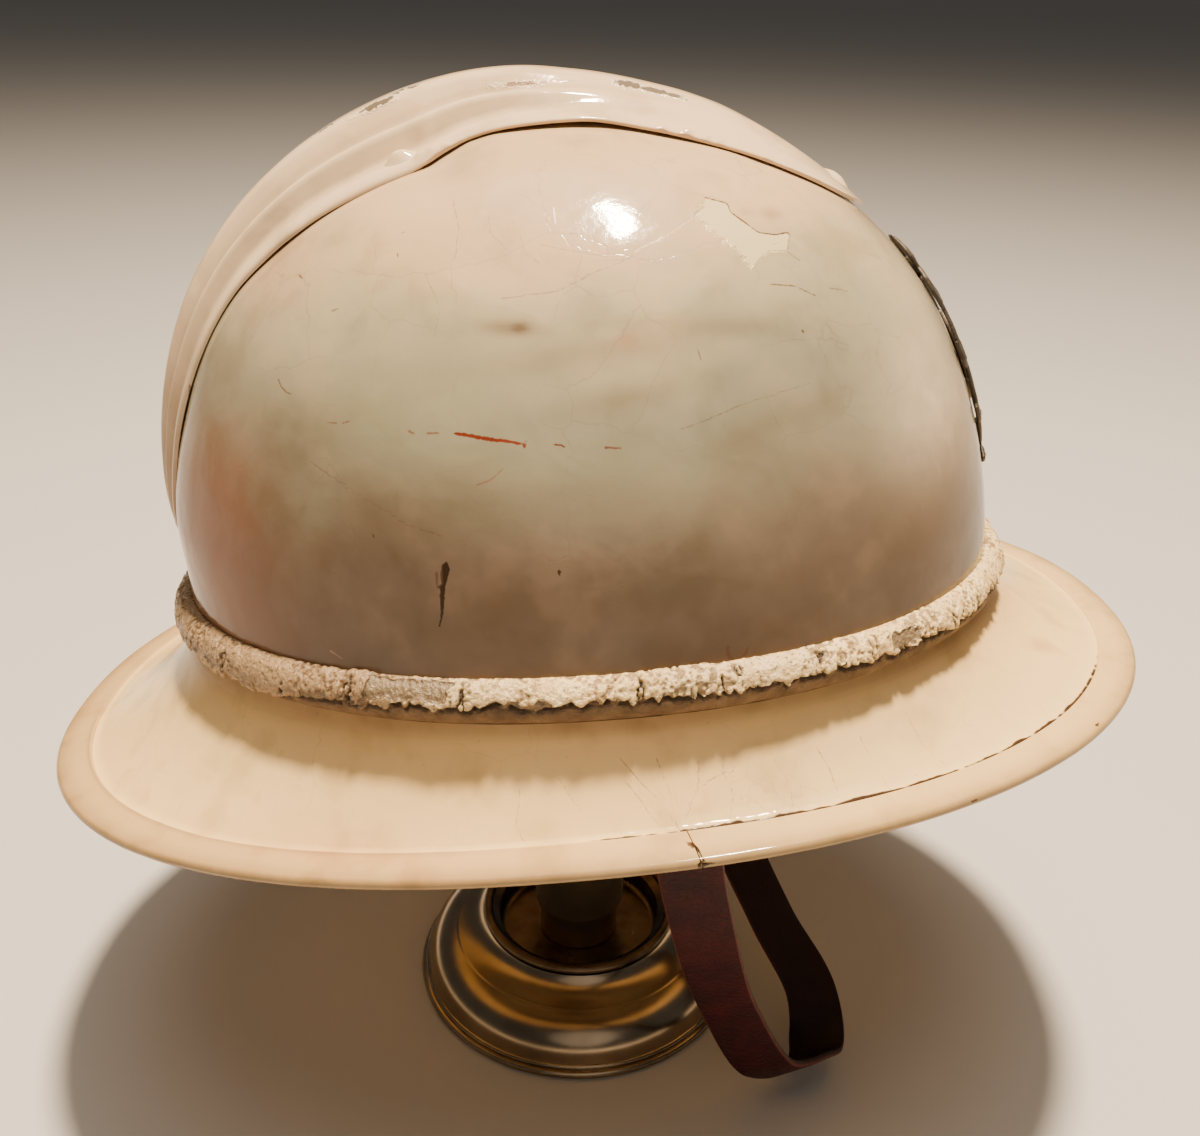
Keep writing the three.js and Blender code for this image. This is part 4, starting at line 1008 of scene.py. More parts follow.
# ---------------------------------------------------------------- crest
# A hollow comb of pressed steel along the dome, with a rounded ridge and a rib down each side, fixed by
# rivets through its flange. It stands clear of the vent slot behind the brow and fades out in front.
CREST_COLUMNS = ["angle", "half", "ridge", "edge", "ribs"]
CREST_ROWS = [  # angle up from the front, half width, ridge and edge over the plain bowl, depth of the ribs
    (172.5, 4, 2.3, 1.6, 0),
    (171.2, 9, 4.2, 1.9, 0),
    (168.5, 13, 6.2, 2.4, 0.3),
    (164, 16, 7.8, 3.0, 0.8),
    (156, 18.5, 9.2, 2.8, 1),
    (146, 20.5, 10.6, 2.35, 1),
    (134, 22, 12.0, 2.0, 1),
    (127, 24, 12.8, 1.35, 1),
    (122, 25.8, 13.2, 1.3, 1),
    (112, 26.8, 14.4, 0.95, 1),
    (108, 26.6, 14.9, 1.0, 1),
    (105.5, 26, 15.1, 1.8, 1),
    (103.5, 24.4, 15.3, 2.6, 1),
    (100, 22.7, 15.4, 4.0, 1),
    (96, 22.5, 15.2, 4.9, 0.9),
    (88, 22.5, 13.2, 5.3, 0.6),
    (80, 22.5, 10.4, 3.4, 0.3),
    (72, 22.5, 7.8, 2.0, 0),
    (64, 21.5, 4.6, 1.6, 0),
    (58, 18, 2.9, 1.5, 0),
    (54.2, 12.5, 2.2, 1.5, 0),
    (52, 5, 1.9, 1.8, 0),
]
CREST_PROFILE = [  # from the middle to the edge: share across, then of the rise, with the ribs and without
    (0, 1, 1), (0.15, 0.97, 0.95),
    (0.25, 0.9, 0.87), (0.34, 0.67, 0.76),
    (0.41, 0.48, 0.68), (0.47, 0.455, 0.61),
    (0.53, 0.52, 0.53), (0.58, 0.5, 0.45),
    (0.64, 0.29, 0.37), (0.7, 0.12, 0.29),
    (0.77, 0.1, 0.2), (0.86, 0.1, 0.11),
    (0.93, 0.07, 0.06), (1, 0, 0),
]


def crest_row(degrees, column):
    """One column of the crest's rows, at angles in degrees."""
    rows = np.array(CREST_ROWS[::-1], float)
    return flowing(degrees, rows[:, 0], rows[:, CREST_COLUMNS.index(column)])


def over_dome(angle, side, height):
    """A point over the dome, at an angle in its middle plane and a distance to the side."""
    angle, side = np.broadcast_arrays(np.asarray(angle, float), np.asarray(side, float))
    flat = np.zeros_like(angle)
    reach = np.linalg.norm(dome_point(np.stack([np.cos(angle), flat, np.sin(angle)], -1)), axis=-1)
    lateral = np.tan(side / reach)
    tilt = 0.01
    point = dome_point(np.stack([np.cos(angle), lateral, np.sin(angle)], -1))
    ahead = dome_point(np.stack([np.cos(angle + tilt), lateral, np.sin(angle + tilt)], -1))
    beside = dome_point(np.stack([np.cos(angle), lateral + tilt, np.sin(angle)], -1))
    normal = unit(np.cross(beside - point, ahead - point))
    normal *= np.sign(np.sum(normal * point, axis=-1, keepdims=True))
    return point + normal * np.asarray(height, float)[..., None]


def crest_height(degrees, across):
    """The crest's outer face over the dome: across is from -1 to 1."""
    ribs = crest_row(degrees, "ribs")
    known, with_ribs, without = zip(*CREST_PROFILE)
    plain, ribbed = flowing(np.abs(across), known, without), flowing(np.abs(across), known, with_ribs)
    edge, ridge = crest_row(degrees, "edge"), crest_row(degrees, "ridge")
    return edge + (ridge - edge) * (plain + (ribbed - plain) * ribs)


def crest_point(degrees, side, proud=0.0):
    across = side / crest_row(degrees, "half")
    return over_dome(np.radians(degrees), side, crest_height(degrees, np.clip(across, -1, 1)) + proud)


crest_angles = np.concatenate([[172.5, 172.3, 172], np.linspace(171.6, 53, 330), [52.6, 52.25, 52]])
ROUND_FROM = 0.965  # the crest's edge rounds over from here on, as a share of its half width
rounded = np.array([0.978, 0.988, 0.996, 1])
upper_across = np.concatenate([-rounded[::-1], np.linspace(-ROUND_FROM, ROUND_FROM, 105), rounded])
lower_across = np.linspace(0.99, -0.99, 25)
degrees_grid, across_grid = np.meshgrid(crest_angles, upper_across, indexing="ij")
half_grid = crest_row(degrees_grid, "half")
closed = smooth_step(degrees_grid, 105, 108)  # where paint bridges the gap under the crest's edge
past = np.clip((np.abs(across_grid) - ROUND_FROM) / (1 - ROUND_FROM), 0, 1)
rounding = (0.25 + 0.55 * closed) * (1 - np.sqrt(1 - past**2))
upper_height = crest_height(degrees_grid, across_grid) - rounding
upper_face = over_dome(np.radians(degrees_grid), across_grid * half_grid, upper_height)
unevenness = 0.08 * rough(upper_face, 15, 24) + 0.03 * rough(upper_face, 5, 25)
upper_face += unit(upper_face) * unevenness[..., None]
CREST_CRUMBS = [  # blobs of paint along the right edge: degrees, distance to the side, half width, height
    (75.6, -21.6, 1.0, 0.8), (73.4, -21.2, 0.8, 0.6), (71.8, -21.4, 0.7, 0.5), (78.4, -22, 0.7, 0.45),
    (104.6, -23.6, 1.8, 0.7), (106.2, -23.8, 1.3, 0.6), (103.2, -23.4, 1.0, 0.5), (66, -21, 0.6, 0.4),
]
for degrees, side, wide, high in CREST_CRUMBS:
    gap = np.linalg.norm(upper_face - crest_point(degrees, side), axis=-1)
    blob = high * np.exp(-((gap / wide) ** 2)) * (1 + 0.3 * rough(upper_face, 0.8, 30))
    upper_face += unit(upper_face) * blob[..., None]
lower_degrees, lower_side = np.meshgrid(crest_angles, lower_across, indexing="ij")
lower_height = crest_height(lower_degrees, lower_side) - STEEL
lower_angle, lower_aside = np.radians(lower_degrees), lower_side * crest_row(lower_degrees, "half")
bowl = over_dome(lower_angle, lower_aside, 0 * lower_height)
lower_height = np.maximum(lower_height, fullness(bowl) + 0.1 + 0.12 * rough(bowl, 3, 27))
lower_face = over_dome(lower_angle, lower_aside, lower_height)
crest_rings = np.concatenate([upper_face, lower_face], axis=1)

# Chips along its ridge: the middle as (x, z), half sizes, turn in degrees and tone. Then its scratches.
CREST_PATCHES = [
    ((-57.5, 121), 4, 1.1, 25, 0.2),
    ((-44, 126), 6, 1.4, 20, 0.15),
    ((-37, 128), 4, 1.6, 15, 0.15),
    ((-10, 128.5), 5, 0.8, 0, 0.45),
    ((17, 127), 4, 1.6, -10, 0.2),
    ((22.5, 125.5), 4.5, 1.5, -15, 0.2),
    ((28.5, 123.5), 3.4, 1.2, -20, 0.25),
]
CREST_STROKES = [
    (0.3, 0.5, 0.2, 0.7, [(-96.5, 63.5), (-97.5, 60.5)]),
    (0.3, 0.5, 0.2, 0.6, [(-8, 128.5), (4, 128.5)]),
]
crest_tones = [
    (0.0, tint(134, 98, 72)), (0.2, tint(172, 136, 104)), (0.4, tint(222, 194, 160)),
    (0.7, tint(238, 212, 174)), (1.0, tint(224, 196, 158)),
]
crest_paint = make_paint("crest paint", crest_tones, 10, 132, cracked=0.3)
crest = make_piece("helmet_crest", crest_rings, place=HELMET, crease=50)
points = crest_rings.reshape(-1, 3)
near_side = points[:, 1] < 1
record_values(crest, **draw_strokes(points, unit(points), CREST_STROKES, near_side, [0, 2]))
record_values(crest, **draw_patches(points, CREST_PATCHES, near_side, [0, 2]))
# Painted shade darkens the two valleys between the ridge, the rib and the flange.
valleys = np.zeros(crest_rings.shape[:2])
for valley, reach in ((0.42, 0.07), (0.71, 0.08)):
    shade = np.exp(-(((np.abs(across_grid) - valley) / reach) ** 2)) * crest_row(degrees_grid, "ribs")
    valleys[:, :across_grid.shape[1]] += 0.3 * shade
record_values(crest, stain_dark=valleys)
crest.data.materials.append(crest_paint)
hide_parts("crest")
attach(crest, "root")

# ---------------------------------------------------------------- crest rivets
# Four low domed rivets hold the crest's flange, one each side, one at the brow and one at the tail.
# So much paint lies over them that their edges run out softly into the flange.
RIVETS = [  # name, degrees up from the front, distance to the side, half sizes along and across, height
    ("crest_rivet_right", 108.5, -20.8, 4.2, 2.9, 2.2),
    ("crest_rivet_left", 108.5, 20.8, 4.2, 2.9, 2.2),
    ("crest_rivet_front", 55.8, 0, 4.6, 4.6, 1.3),
    ("crest_rivet_rear", 169.5, 0, 3, 3, 1.1),
]
rivet_paint = make_paint("rivet paint", crest_tones, 10, 132, cracked=0.2, marks=False)
spin = np.linspace(0, TURN, 49)[:-1]
for cad_name, middle_angle, aside, long, wide, tall in RIVETS:
    one_degree = np.linalg.norm(crest_point(middle_angle + 1, aside) - crest_point(middle_angle, aside))
    head = []
    for share, rise in [(0.9, -0.7), (1.0, -0.5), *[(cut, None) for cut in np.linspace(1, 0.03, 16)]]:
        if rise is None:  # on the head itself, which has a dimple in its middle
            rise = -0.03 + tall * (0.5 + 0.5 * math.cos(math.pi * share)) ** 0.6
            rise -= 0.25 * math.exp(-((share / 0.16) ** 2))
        degrees = middle_angle + share * long * np.cos(spin) / one_degree
        head.append(crest_point(degrees, aside + share * wide * np.sin(spin), rise))
    rivet = make_piece("helmet_" + cad_name, head, place=HELMET, crease=70)
    rivet.data.materials.append(rivet_paint)
    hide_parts(cad_name)
    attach(rivet, "root")

# ---------------------------------------------------------------- badge
# A cast white-metal wreath with a plain boss in the middle, open between its leaves. Two studs behind it
# pass through the dome. The metal has dulled to grey, with dirt in the hollows and bright worn edges.
BADGE_ANGLE = math.radians(28)
BADGE_STAND_OFF = {"bottom": 0.4, "top": 1.0}
WREATH_WIDE, WREATH_TALL, STEM_WIDTH = 18.0, 28.0, 2.4  # the first two are halves
LEAF_PAIRS, LEAF_LENGTH, LEAF_WIDTH, LEAF_SPREAD = 5, 11.0, 4.8, 0.55
FIRST_LEAF, LAST_LEAF, FOOT_LEAF = 0.5, 2.75, 2.3
BOSS_WIDE, BOSS_TALL = 9.5, 13.0  # halves
BOSS_PROFILE = [  # share of those sizes, and height
    (1, 0), (1, 1.1), (0.96, 1.5), (0.86, 1.55), (0.82, 1.2), (0.76, 1.15), (0.7, 1.4), (0.5, 1.75),
    (0.05, 1.9),
]
STUD_RADIUS, STUD_SPREAD = 1.6, 22.0
CAST = 1.4
TIP_GAP = 4.0  # half the gap between the tips of the wreath
CAST_SECTION = [(1, 0), (0.96, 0.45), (0.6, 0.78), (0.22, 0.62)]  # from an edge towards the midrib


def solid_strip(name, middle_line, widths, heights):
    """A cast strip: flat below, rounded above with a raised midrib, along a line of (across, up)."""
    line = np.asarray(middle_line, float)
    heading = unit(np.gradient(line, axis=0))
    square = np.stack([-heading[:, 1], heading[:, 0]], -1)
    profile = [(-across, up) for across, up in CAST_SECTION] + [(0, 1)] + CAST_SECTION[::-1]
    rings = []
    for spot, sideways, width, height in zip(line, square, widths, heights):
        half = max(width / 2, 0.12)
        rings.append([(*(spot + sideways * half * across), height * up) for across, up in profile])
    return make_piece(name, rings, crease=180)


def leaf_strip(name, across, up, length, width, turn):
    share = np.linspace(0, 1, 12)
    line = np.stack([across - np.sin(turn) * length * share, up + np.cos(turn) * length * share], -1)
    widths = width * np.sin(math.pi * np.clip(share, 0.02, 0.98)) ** 0.8
    return solid_strip(name, line, widths, CAST * (0.55 + 0.5 * np.sin(math.pi * share)))


castings = []
for side in (-1, 1):
    stem_turn = np.linspace(0, math.pi - math.asin(TIP_GAP / WREATH_WIDE), 60)
    stem = np.stack([side * WREATH_WIDE * np.sin(stem_turn), -WREATH_TALL * np.cos(stem_turn)], -1)
    castings.append(solid_strip("stem", stem, np.full(len(stem), STEM_WIDTH), np.full(len(stem), CAST * 0.9)))
    for share in np.linspace(0, 1, LEAF_PAIRS):
        turn = FIRST_LEAF + (LAST_LEAF - FIRST_LEAF) * share
        across, up = side * WREATH_WIDE * math.sin(turn), -WREATH_TALL * math.cos(turn)
        step_across, step_up = WREATH_WIDE * math.cos(turn), WREATH_TALL * math.sin(turn)
        heading = -side * math.atan2(step_across, step_up)
        for spread in (-LEAF_SPREAD, LEAF_SPREAD):
            castings.append(leaf_strip("leaf", across, up, LEAF_LENGTH, LEAF_WIDTH, heading + spread))
    castings.append(leaf_strip("leaf", 0, 1.2 - WREATH_TALL, LEAF_LENGTH, LEAF_WIDTH, side * FOOT_LEAF))
bars = [
    [(-WREATH_WIDE, 0), (WREATH_WIDE, 0)],
    [(0, -WREATH_TALL), (0, STUD_SPREAD + 1.2)],
]
for first, last in bars:
    line = np.array(first) + np.linspace(0, 1, 12)[:, None] * (np.array(last) - np.array(first))
    castings.append(solid_strip("bar", line, np.full(len(line), STEM_WIDTH), np.full(len(line), 1.0)))


def cast_ring(wide, tall, up, height):
    """An oval ring of the casting, with its middle that far up the badge."""
    return np.stack([wide * np.cos(spin), up + tall * np.sin(spin), np.full(len(spin), height)], -1)


boss_rings = [cast_ring(BOSS_WIDE * share, BOSS_TALL * share, 0, height) for share, height in BOSS_PROFILE]
castings.append(make_piece("boss", boss_rings, crease=180))
for side in (-1, 1):
    post = [cast_ring(STUD_RADIUS, STUD_RADIUS, side * STUD_SPREAD, height) for height in (-2.0, -1.5, 0.8)]
    castings.append(make_piece("post", post, crease=180))

badge = castings[0]
with bpy.context.temp_override(active_object=badge, selected_editable_objects=castings, object=badge):
    bpy.ops.object.join()
fusing = badge.modifiers.new("fuse", "REMESH")
fusing.mode = "VOXEL"
fusing.voxel_size = 0.32 * MM
settling = badge.modifiers.new("settle", "SMOOTH")
settling.factor, settling.iterations = 0.5, 3
fused = bpy.data.meshes.new_from_object(badge.evaluated_get(bpy.context.evaluated_depsgraph_get()))
badge.modifiers.clear()
badge.data = fused
badge.name = "helmet_badge"
flat_badge = np.zeros(len(fused.vertices) * 3, np.float32)
fused.vertices.foreach_get("co", flat_badge)
flat_badge = flat_badge.reshape(-1, 3).astype(float) / MM
badge_reach = np.linalg.norm(dome_point(np.array([math.cos(BADGE_ANGLE), 0, math.sin(BADGE_ANGLE)])))
share_up = (flat_badge[:, 1] + WREATH_TALL) / (2 * WREATH_TALL)
stand_off = BADGE_STAND_OFF["bottom"] + (BADGE_STAND_OFF["top"] - BADGE_STAND_OFF["bottom"]) * share_up
face_level = stand_off + flat_badge[:, 2] + 0.05 * rough(flat_badge, 1.2, 26)
level = np.where(flat_badge[:, 2] < -0.1, GAP, face_level)  # the studs' ends stop short of the dome
bent = over_dome(BADGE_ANGLE + flat_badge[:, 1] / badge_reach, flat_badge[:, 0], level)
fused.vertices.foreach_set("co", (bent * MM).astype(np.float32).ravel())
fused.update()
fused.shade_smooth()
record_values(badge, cast_height=flat_badge[:, 2])
fused.transform(HELMET)

material, tree, shader, place = start_finish("cast white metal")
raised = band(tree, stored(tree, "cast_height"), 0.5, 1.5)
dull = lumps(tree, place, 4, 4, 0.65)
metal = ramp(tree, dull, [(0.3, tint(118, 111, 100)), (0.5, tint(156, 148, 136)), (0.7, tint(188, 181, 168))])
grime = times(tree, minus(tree, 1.0, raised), 0.88)
metal = blend(tree, grime, metal, tint(62, 53, 43))
set_surface(tree, shader, metal, minus(tree, 0.56, times(tree, raised, 0.28)))
shader.inputs["Metallic"].default_value = 0.7
set_relief(tree, shader, times(tree, lumps(tree, place, 0.7, 3), 0.15), 0.8)
badge.data.materials.clear()
badge.data.materials.append(material)
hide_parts("badge")
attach(badge, "root")

# ---------------------------------------------------------------- strap bails
# A loop of bent steel wire hangs inside the dome's foot at each side, brazed to a small square pad.
# The wire is bare and dull, with a breath of rust.
BAIL = {"x": 24.0, "top": 1.0, "width": 21.0, "height": 9.0, "wire": 1.2, "corner": 2.5, "pad": 9.0}
BAIL_INSET = 1.0 + BAIL["wire"]


def bail_seat(side):
    """Where a bail hangs on the dome's inner wall, and how the wall is turned there."""
    half_length, half_width = DOME_LENGTH - STEEL, DOME_WIDTH - STEEL
    along = BAIL["x"] / half_length
    y = half_width * (1 - along**PLAN_EXPONENT) ** (1 / PLAN_EXPONENT)
    slope = (half_width / half_length) * (along / (y / half_width)) ** (PLAN_EXPONENT - 1)
    return Matrix.Translation((BAIL["x"], side * y, 0)) @ Matrix.Rotation(-side * math.atan(slope), 4, "Z")


def carried(matrix, points):
    """Points in millimetres, moved by a matrix."""
    points = np.asarray(points, float)
    return points @ np.array(matrix.to_3x3()).T + np.array(matrix.translation)


material, tree, shader, place = start_finish("bare wire")
rusty = band(tree, lumps(tree, place, 3, 4, 0.6), 0.45, 0.65)
metal = blend(tree, rusty, tint(112, 106, 98), tint(104, 70, 48))
set_surface(tree, shader, metal, plus(tree, 0.38, times(tree, rusty, 0.3)))
shader.inputs["Metallic"].default_value = 0.9
set_relief(tree, shader, times(tree, lumps(tree, place, 0.6, 3), 0.08))
for side, cad_name in ((-1, "strap_bail_right"), (1, "strap_bail_left")):
    inset = -side * BAIL_INSET
    loop = []
    for quarter, (corner_x, corner_z) in enumerate([(1, 1), (-1, 1), (-1, -1), (1, -1)]):
        for bend in np.linspace(0, math.pi / 2, 9):
            swung = bend + quarter * math.pi / 2
            heading = np.array([math.cos(swung), 0, math.sin(swung)])
            centre = np.array([
                corner_x * (BAIL["width"] / 2 - BAIL["corner"]), inset,
                BAIL["top"] - BAIL["height"] / 2 + corner_z * (BAIL["height"] / 2 - BAIL["corner"]),
            ]) + heading * BAIL["corner"]
            turn = np.linspace(0, TURN, 19)[:-1, None]
            loop.append(centre + BAIL["wire"] * (np.cos(turn) * heading + np.sin(turn) * np.array([0, 1, 0])))
    bail = make_piece("helmet_" + cad_name, carried(bail_seat(side), loop), joined=True, place=HELMET)
    half_pad, pad_middle = BAIL["pad"] / 2, BAIL["top"] + BAIL["pad"] / 2 - 1.5
    pad_rings = []
    for depth, grow in ((-1, 0.93), (-0.8, 1), (0.8, 1), (1, 0.93)):
        outline = [(-1, -0.8), (-0.8, -1), (0.8, -1), (1, -0.8), (1, 0.8), (0.8, 1), (-0.8, 1), (-1, 0.8)]
        half = half_pad * grow
        pad_rings.append([(half * x, inset + depth * BAIL["wire"], pad_middle + half * z)
                          for x, z in outline])
    pad = make_piece("pad", carried(bail_seat(side), pad_rings), place=HELMET)
    with bpy.context.temp_override(active_object=bail, selected_editable_objects=[bail, pad], object=bail):
        bpy.ops.object.join()
    bail.data.materials.append(material)
    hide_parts(cad_name)
    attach(bail, "root")

# ---------------------------------------------------------------- chin strap
# One strip of oxblood leather, folded over each bail and hanging below the brim in a loop that bends
# forward at the bottom. Its face is rubbed and its cut edges are paler.
STRAP_WIDTH, STRAP_THICKNESS, STRAP_FOLD = 16.5, 2.0, 20.0
EDGE_ROUND = 0.55
STRAP_ROUTE = [  # the hanging run in the stand's frame, and where its width points
    {"place": (23, -82, 117), "turn": -3, "rise": 4},
    {"place": (30, -76, 79), "turn": -7, "rise": 7},
    {"place": (40, -67, 44), "turn": -14, "rise": 9},
    {"place": (54, -64, 18), "turn": -9, "rise": 19},
    {"place": (70, -50, 9.5), "turn": 14, "rise": 24},
    {"place": (71, -36, 19), "turn": 30, "rise": 9},
    {"place": (60, -19, 34), "turn": 36, "rise": 0},
    {"place": (46, 8, 58), "turn": 26, "rise": 1},
    {"place": (36, 53, 103), "turn": 8, "rise": 3},
]
helmet_in_mm = Matrix.Translation(HELMET.translation / MM) @ lean


def strap_wrap(side):
    """The turn of the strap round a bail's lower bar, from the end of its fold to the long run."""
    bar = np.array([0, -side * BAIL_INSET, BAIL["top"] - BAIL["height"]])
    wrap = BAIL["wire"] + 2 * GAP + STRAP_THICKNESS / 2
    fold = [bar + (0, side * wrap, -STRAP_FOLD * share) for share in (1, 0.5)]
    over = [bar + (0, side * wrap * math.cos(bend), wrap * math.sin(bend))
            for bend in np.linspace(0, math.pi, 7)]
    place = helmet_in_mm @ bail_seat(side)
    width = np.array(place.to_3x3() @ Vector((1, 0, 0)))
    return [(spot, width) for spot in carried(place, fold + over)]


def through(points, share):
    """A smooth curve through points, at shares of the way from the first to the last."""
    points = np.asarray(points, float)
    padded = np.vstack([2 * points[0] - points[1], points, 2 * points[-1] - points[-2]])
    walk = share * (len(points) - 1)
    index = np.clip(np.floor(walk).astype(int), 0, len(points) - 2)
    part = (walk - index)[:, None]
    four = [padded[index + step] for step in range(4)]
    spans = [np.linalg.norm(four[i + 1] - four[i], axis=1)[:, None] ** 0.5 for i in range(3)]
    spans[1] = np.where(spans[1] < 1e-4, 1.0, spans[1])
    spans[0] = np.where(spans[0] < 1e-4, spans[1], spans[0])
    spans[2] = np.where(spans[2] < 1e-4, spans[1], spans[2])
    leave = ((four[1] - four[0]) / spans[0] - (four[2] - four[0]) / (spans[0] + spans[1])
             + (four[2] - four[1]) / spans[1]) * spans[1]
    arrive = ((four[2] - four[1]) / spans[1] - (four[3] - four[1]) / (spans[1] + spans[2])
              + (four[3] - four[2]) / spans[2]) * spans[1]
    return eased(part, four[1], leave, four[2], arrive)


hanging = []
for row in STRAP_ROUTE:
    turn, rise = math.radians(row["turn"]), math.radians(row["rise"])
    width = np.array([math.cos(turn), math.sin(turn), math.tan(rise)])
    hanging.append((np.array(row["place"], float), width))
route = strap_wrap(-1) + hanging + strap_wrap(1)[::-1]
strap_share = np.linspace(0, 1, 420)
middle_line = through([spot for spot, _ in route], strap_share)
strap_across = through([width for _, width in route], strap_share)
strap_heading = unit(np.gradient(middle_line, axis=0))
lengthways = np.sum(strap_across * strap_heading, axis=1, keepdims=True)
strap_across = unit(strap_across - lengthways * strap_heading)
strap_face = np.cross(strap_heading, strap_across)
outline = []
half_width, half_thick = STRAP_WIDTH / 2, STRAP_THICKNESS / 2
for face, start in ((1, 0), (-1, math.pi)):
    for across in np.linspace(0.93, -0.93, 11) * face:
        outline.append((across * half_width, face * half_thick * (1 - 0.06 * abs(across))))
    for bend in (0.3, 0.7, 1.1, 1.57, 2.04, 2.44, 2.84):
        edge_out = half_width - EDGE_ROUND + EDGE_ROUND * math.sin(bend)
        outline.append((-face * edge_out, face * half_thick * 0.94 * math.cos(bend)))
strap_rings = []
for spot, across, face in zip(middle_line, strap_across, strap_face):
    strap_rings.append([spot + a * across + b * face for a, b in outline])
strap_rings = np.array(strap_rings)
edge_share = np.abs([a for a, _ in outline]) / half_width

material, tree, shader, place = start_finish("oxblood leather")
sweep = lumps(tree, place, 12, 4, 0.6)
hide = ramp(tree, sweep, [(0.3, tint(36, 7, 10)), (0.5, tint(49, 10, 13)), (0.7, tint(64, 16, 18))])
pores = put(tree, "TexVoronoi", {"Vector": place, "Scale": 1 / 0.9})
creased = put(tree, "TexVoronoi", {"Vector": place, "Scale": 1 / 2.2}, feature="DISTANCE_TO_EDGE")
rubbed = times(tree, band(tree, lumps(tree, place, 2.6, 5, 0.7), 0.55, 0.72), 0.22)
hide = blend(tree, rubbed, hide, tint(104, 42, 34))
edge = band(tree, stored(tree, "strap_edge"), 0.93, 0.985)
hide = blend(tree, times(tree, edge, 0.6), hide, tint(118, 62, 48))
# painted shade: the strap's inner face is darkened almost to black
hide = blend(tree, stored(tree, "flesh_side"), hide, tint(30, 15, 13))
set_surface(tree, shader, hide, plus(tree, 0.52, times(tree, rubbed, 0.4)))
shader.inputs["Specular IOR Level"].default_value = 0.2
relief = plus(tree, times(tree, pores.outputs["Distance"], 0.05),
                times(tree, band(tree, creased.outputs["Distance"], 0.0, 0.12), 0.08))
set_relief(tree, shader, relief, 0.9)
strap = make_piece("helmet_chin_strap", strap_rings, crease=60)
# The inner face is stored for its painted shade.
inner_face = 1.0 * (np.array([b for _, b in outline]) < 0)
record_values(strap, strap_edge=np.tile(edge_share, (len(strap_rings), 1)),
              flesh_side=np.tile(inner_face * 0.85, (len(strap_rings), 1)))
strap.data.materials.append(material)
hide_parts("chin_strap")
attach(strap, "root")

# ---------------------------------------------------------------- stand
# A turned brass stand: a solid foot with a bead round its rim, a round shoulder and a hollow neck; a dish
# let into its top; a column with a sleeve slipped over it; and a mushroom rest up in the crown. All of
# it is polished but long untouched, so it is yellow-brown, browner in the hollows.
LATHE = 128


lathe_spin = np.linspace(0, TURN, LATHE + 1)[:-1]
AXIS_HOLE = 0.02  # a profile that meets the axis stops this far from it


def turned_rings(profile):
    """Rings about the Z axis through (radius, height) pairs."""
    return [np.stack([radius * np.cos(lathe_spin), radius * np.sin(lathe_spin), np.full(LATHE, height)], -1)
            for radius, height in profile]


def turned_piece(name, profile, crease=35):
    """A piece turned from (radius, height) pairs that start and end on the axis."""
    rings = turned_rings([(max(radius, AXIS_HOLE), height) for radius, height in profile])
    return make_piece(name, rings, crease=crease)


def arc(radius, height, across, up, start, end, pieces):
    """Points of an arc of a turned profile, angles in degrees."""
    swing = np.radians(np.linspace(start, end, pieces))
    return list(zip(radius + across * np.cos(swing), height + up * np.sin(swing)))


dish_low, dish_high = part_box("stand_dish")
column_low, column_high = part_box("stand_column")
sleeve_low, sleeve_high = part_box("stand_sleeve")
rest_low, rest_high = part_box("stand_rest")
foot_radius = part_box("stand_foot")[1].x / MM
WELL_RADIUS, WELL_FLOOR, FOOT_TOP = 27.6, 13.5, 21.4
foot_profile = [
    (0, 0), (foot_radius - 4, 0), (foot_radius - 2.6, 0.05),
    *arc(foot_radius - 1.5, 1.5, 1.5, 1.45, -80, 60, 12),
    *arc(foot_radius - 2.6, 3.5, 1.2, 1.0, -40, 70, 10),
    *arc(37, 4.4, 12.6, 12, 6, 76, 30),
    *arc(42, 24, 11.8, 8, 260, 199, 20),
    (WELL_RADIUS + 2.4, FOOT_TOP - 0.1), (WELL_RADIUS + 0.3, FOOT_TOP), (WELL_RADIUS, FOOT_TOP - 0.3),
    (WELL_RADIUS, WELL_FLOOR), (0, WELL_FLOOR),
]
dish_outer = dish_high.x / MM
dish_wall = WELL_RADIUS - GAP
dish_inner = dish_wall - 1.3
dish_bottom, dish_top = dish_low.z / MM, dish_high.z / MM
dish_profile = [
    (0, dish_bottom), (dish_wall, dish_bottom), (dish_wall, FOOT_TOP + GAP),
    *arc(dish_outer - 1.5, dish_top - 1.5, 1.5, 1.5, -75, 180, 26),
    (dish_inner, FOOT_TOP + GAP), (dish_inner - 0.2, dish_bottom + 3.3),
    *arc(dish_inner - 2.2, dish_bottom + 3.3, 2.0, 2.0, 0, -90, 8),
    (0, dish_bottom + 1.3),
]
column_radius = column_high.x / MM
column_profile = [
    (0, column_low.z / MM), (column_radius, column_low.z / MM),
    (column_radius, column_high.z / MM), (0, column_high.z / MM),
]
sleeve_outer, sleeve_inner = sleeve_high.x / MM, column_radius + GAP
sleeve_start, sleeve_end = sleeve_low.z / MM, sleeve_high.z / MM
rest_radius, rest_bottom, rest_top = rest_high.x / MM, rest_low.z / MM, rest_high.z / MM
rest_profile = [
    (0, rest_bottom), (rest_radius - 2, rest_bottom),
    *arc(rest_radius - 1.2, rest_bottom + 1.2, 1.2, 1.2, -90, 0, 8),
    *arc(0, rest_top - 4.5, rest_radius, 4.5, 2, 89, 30),
]


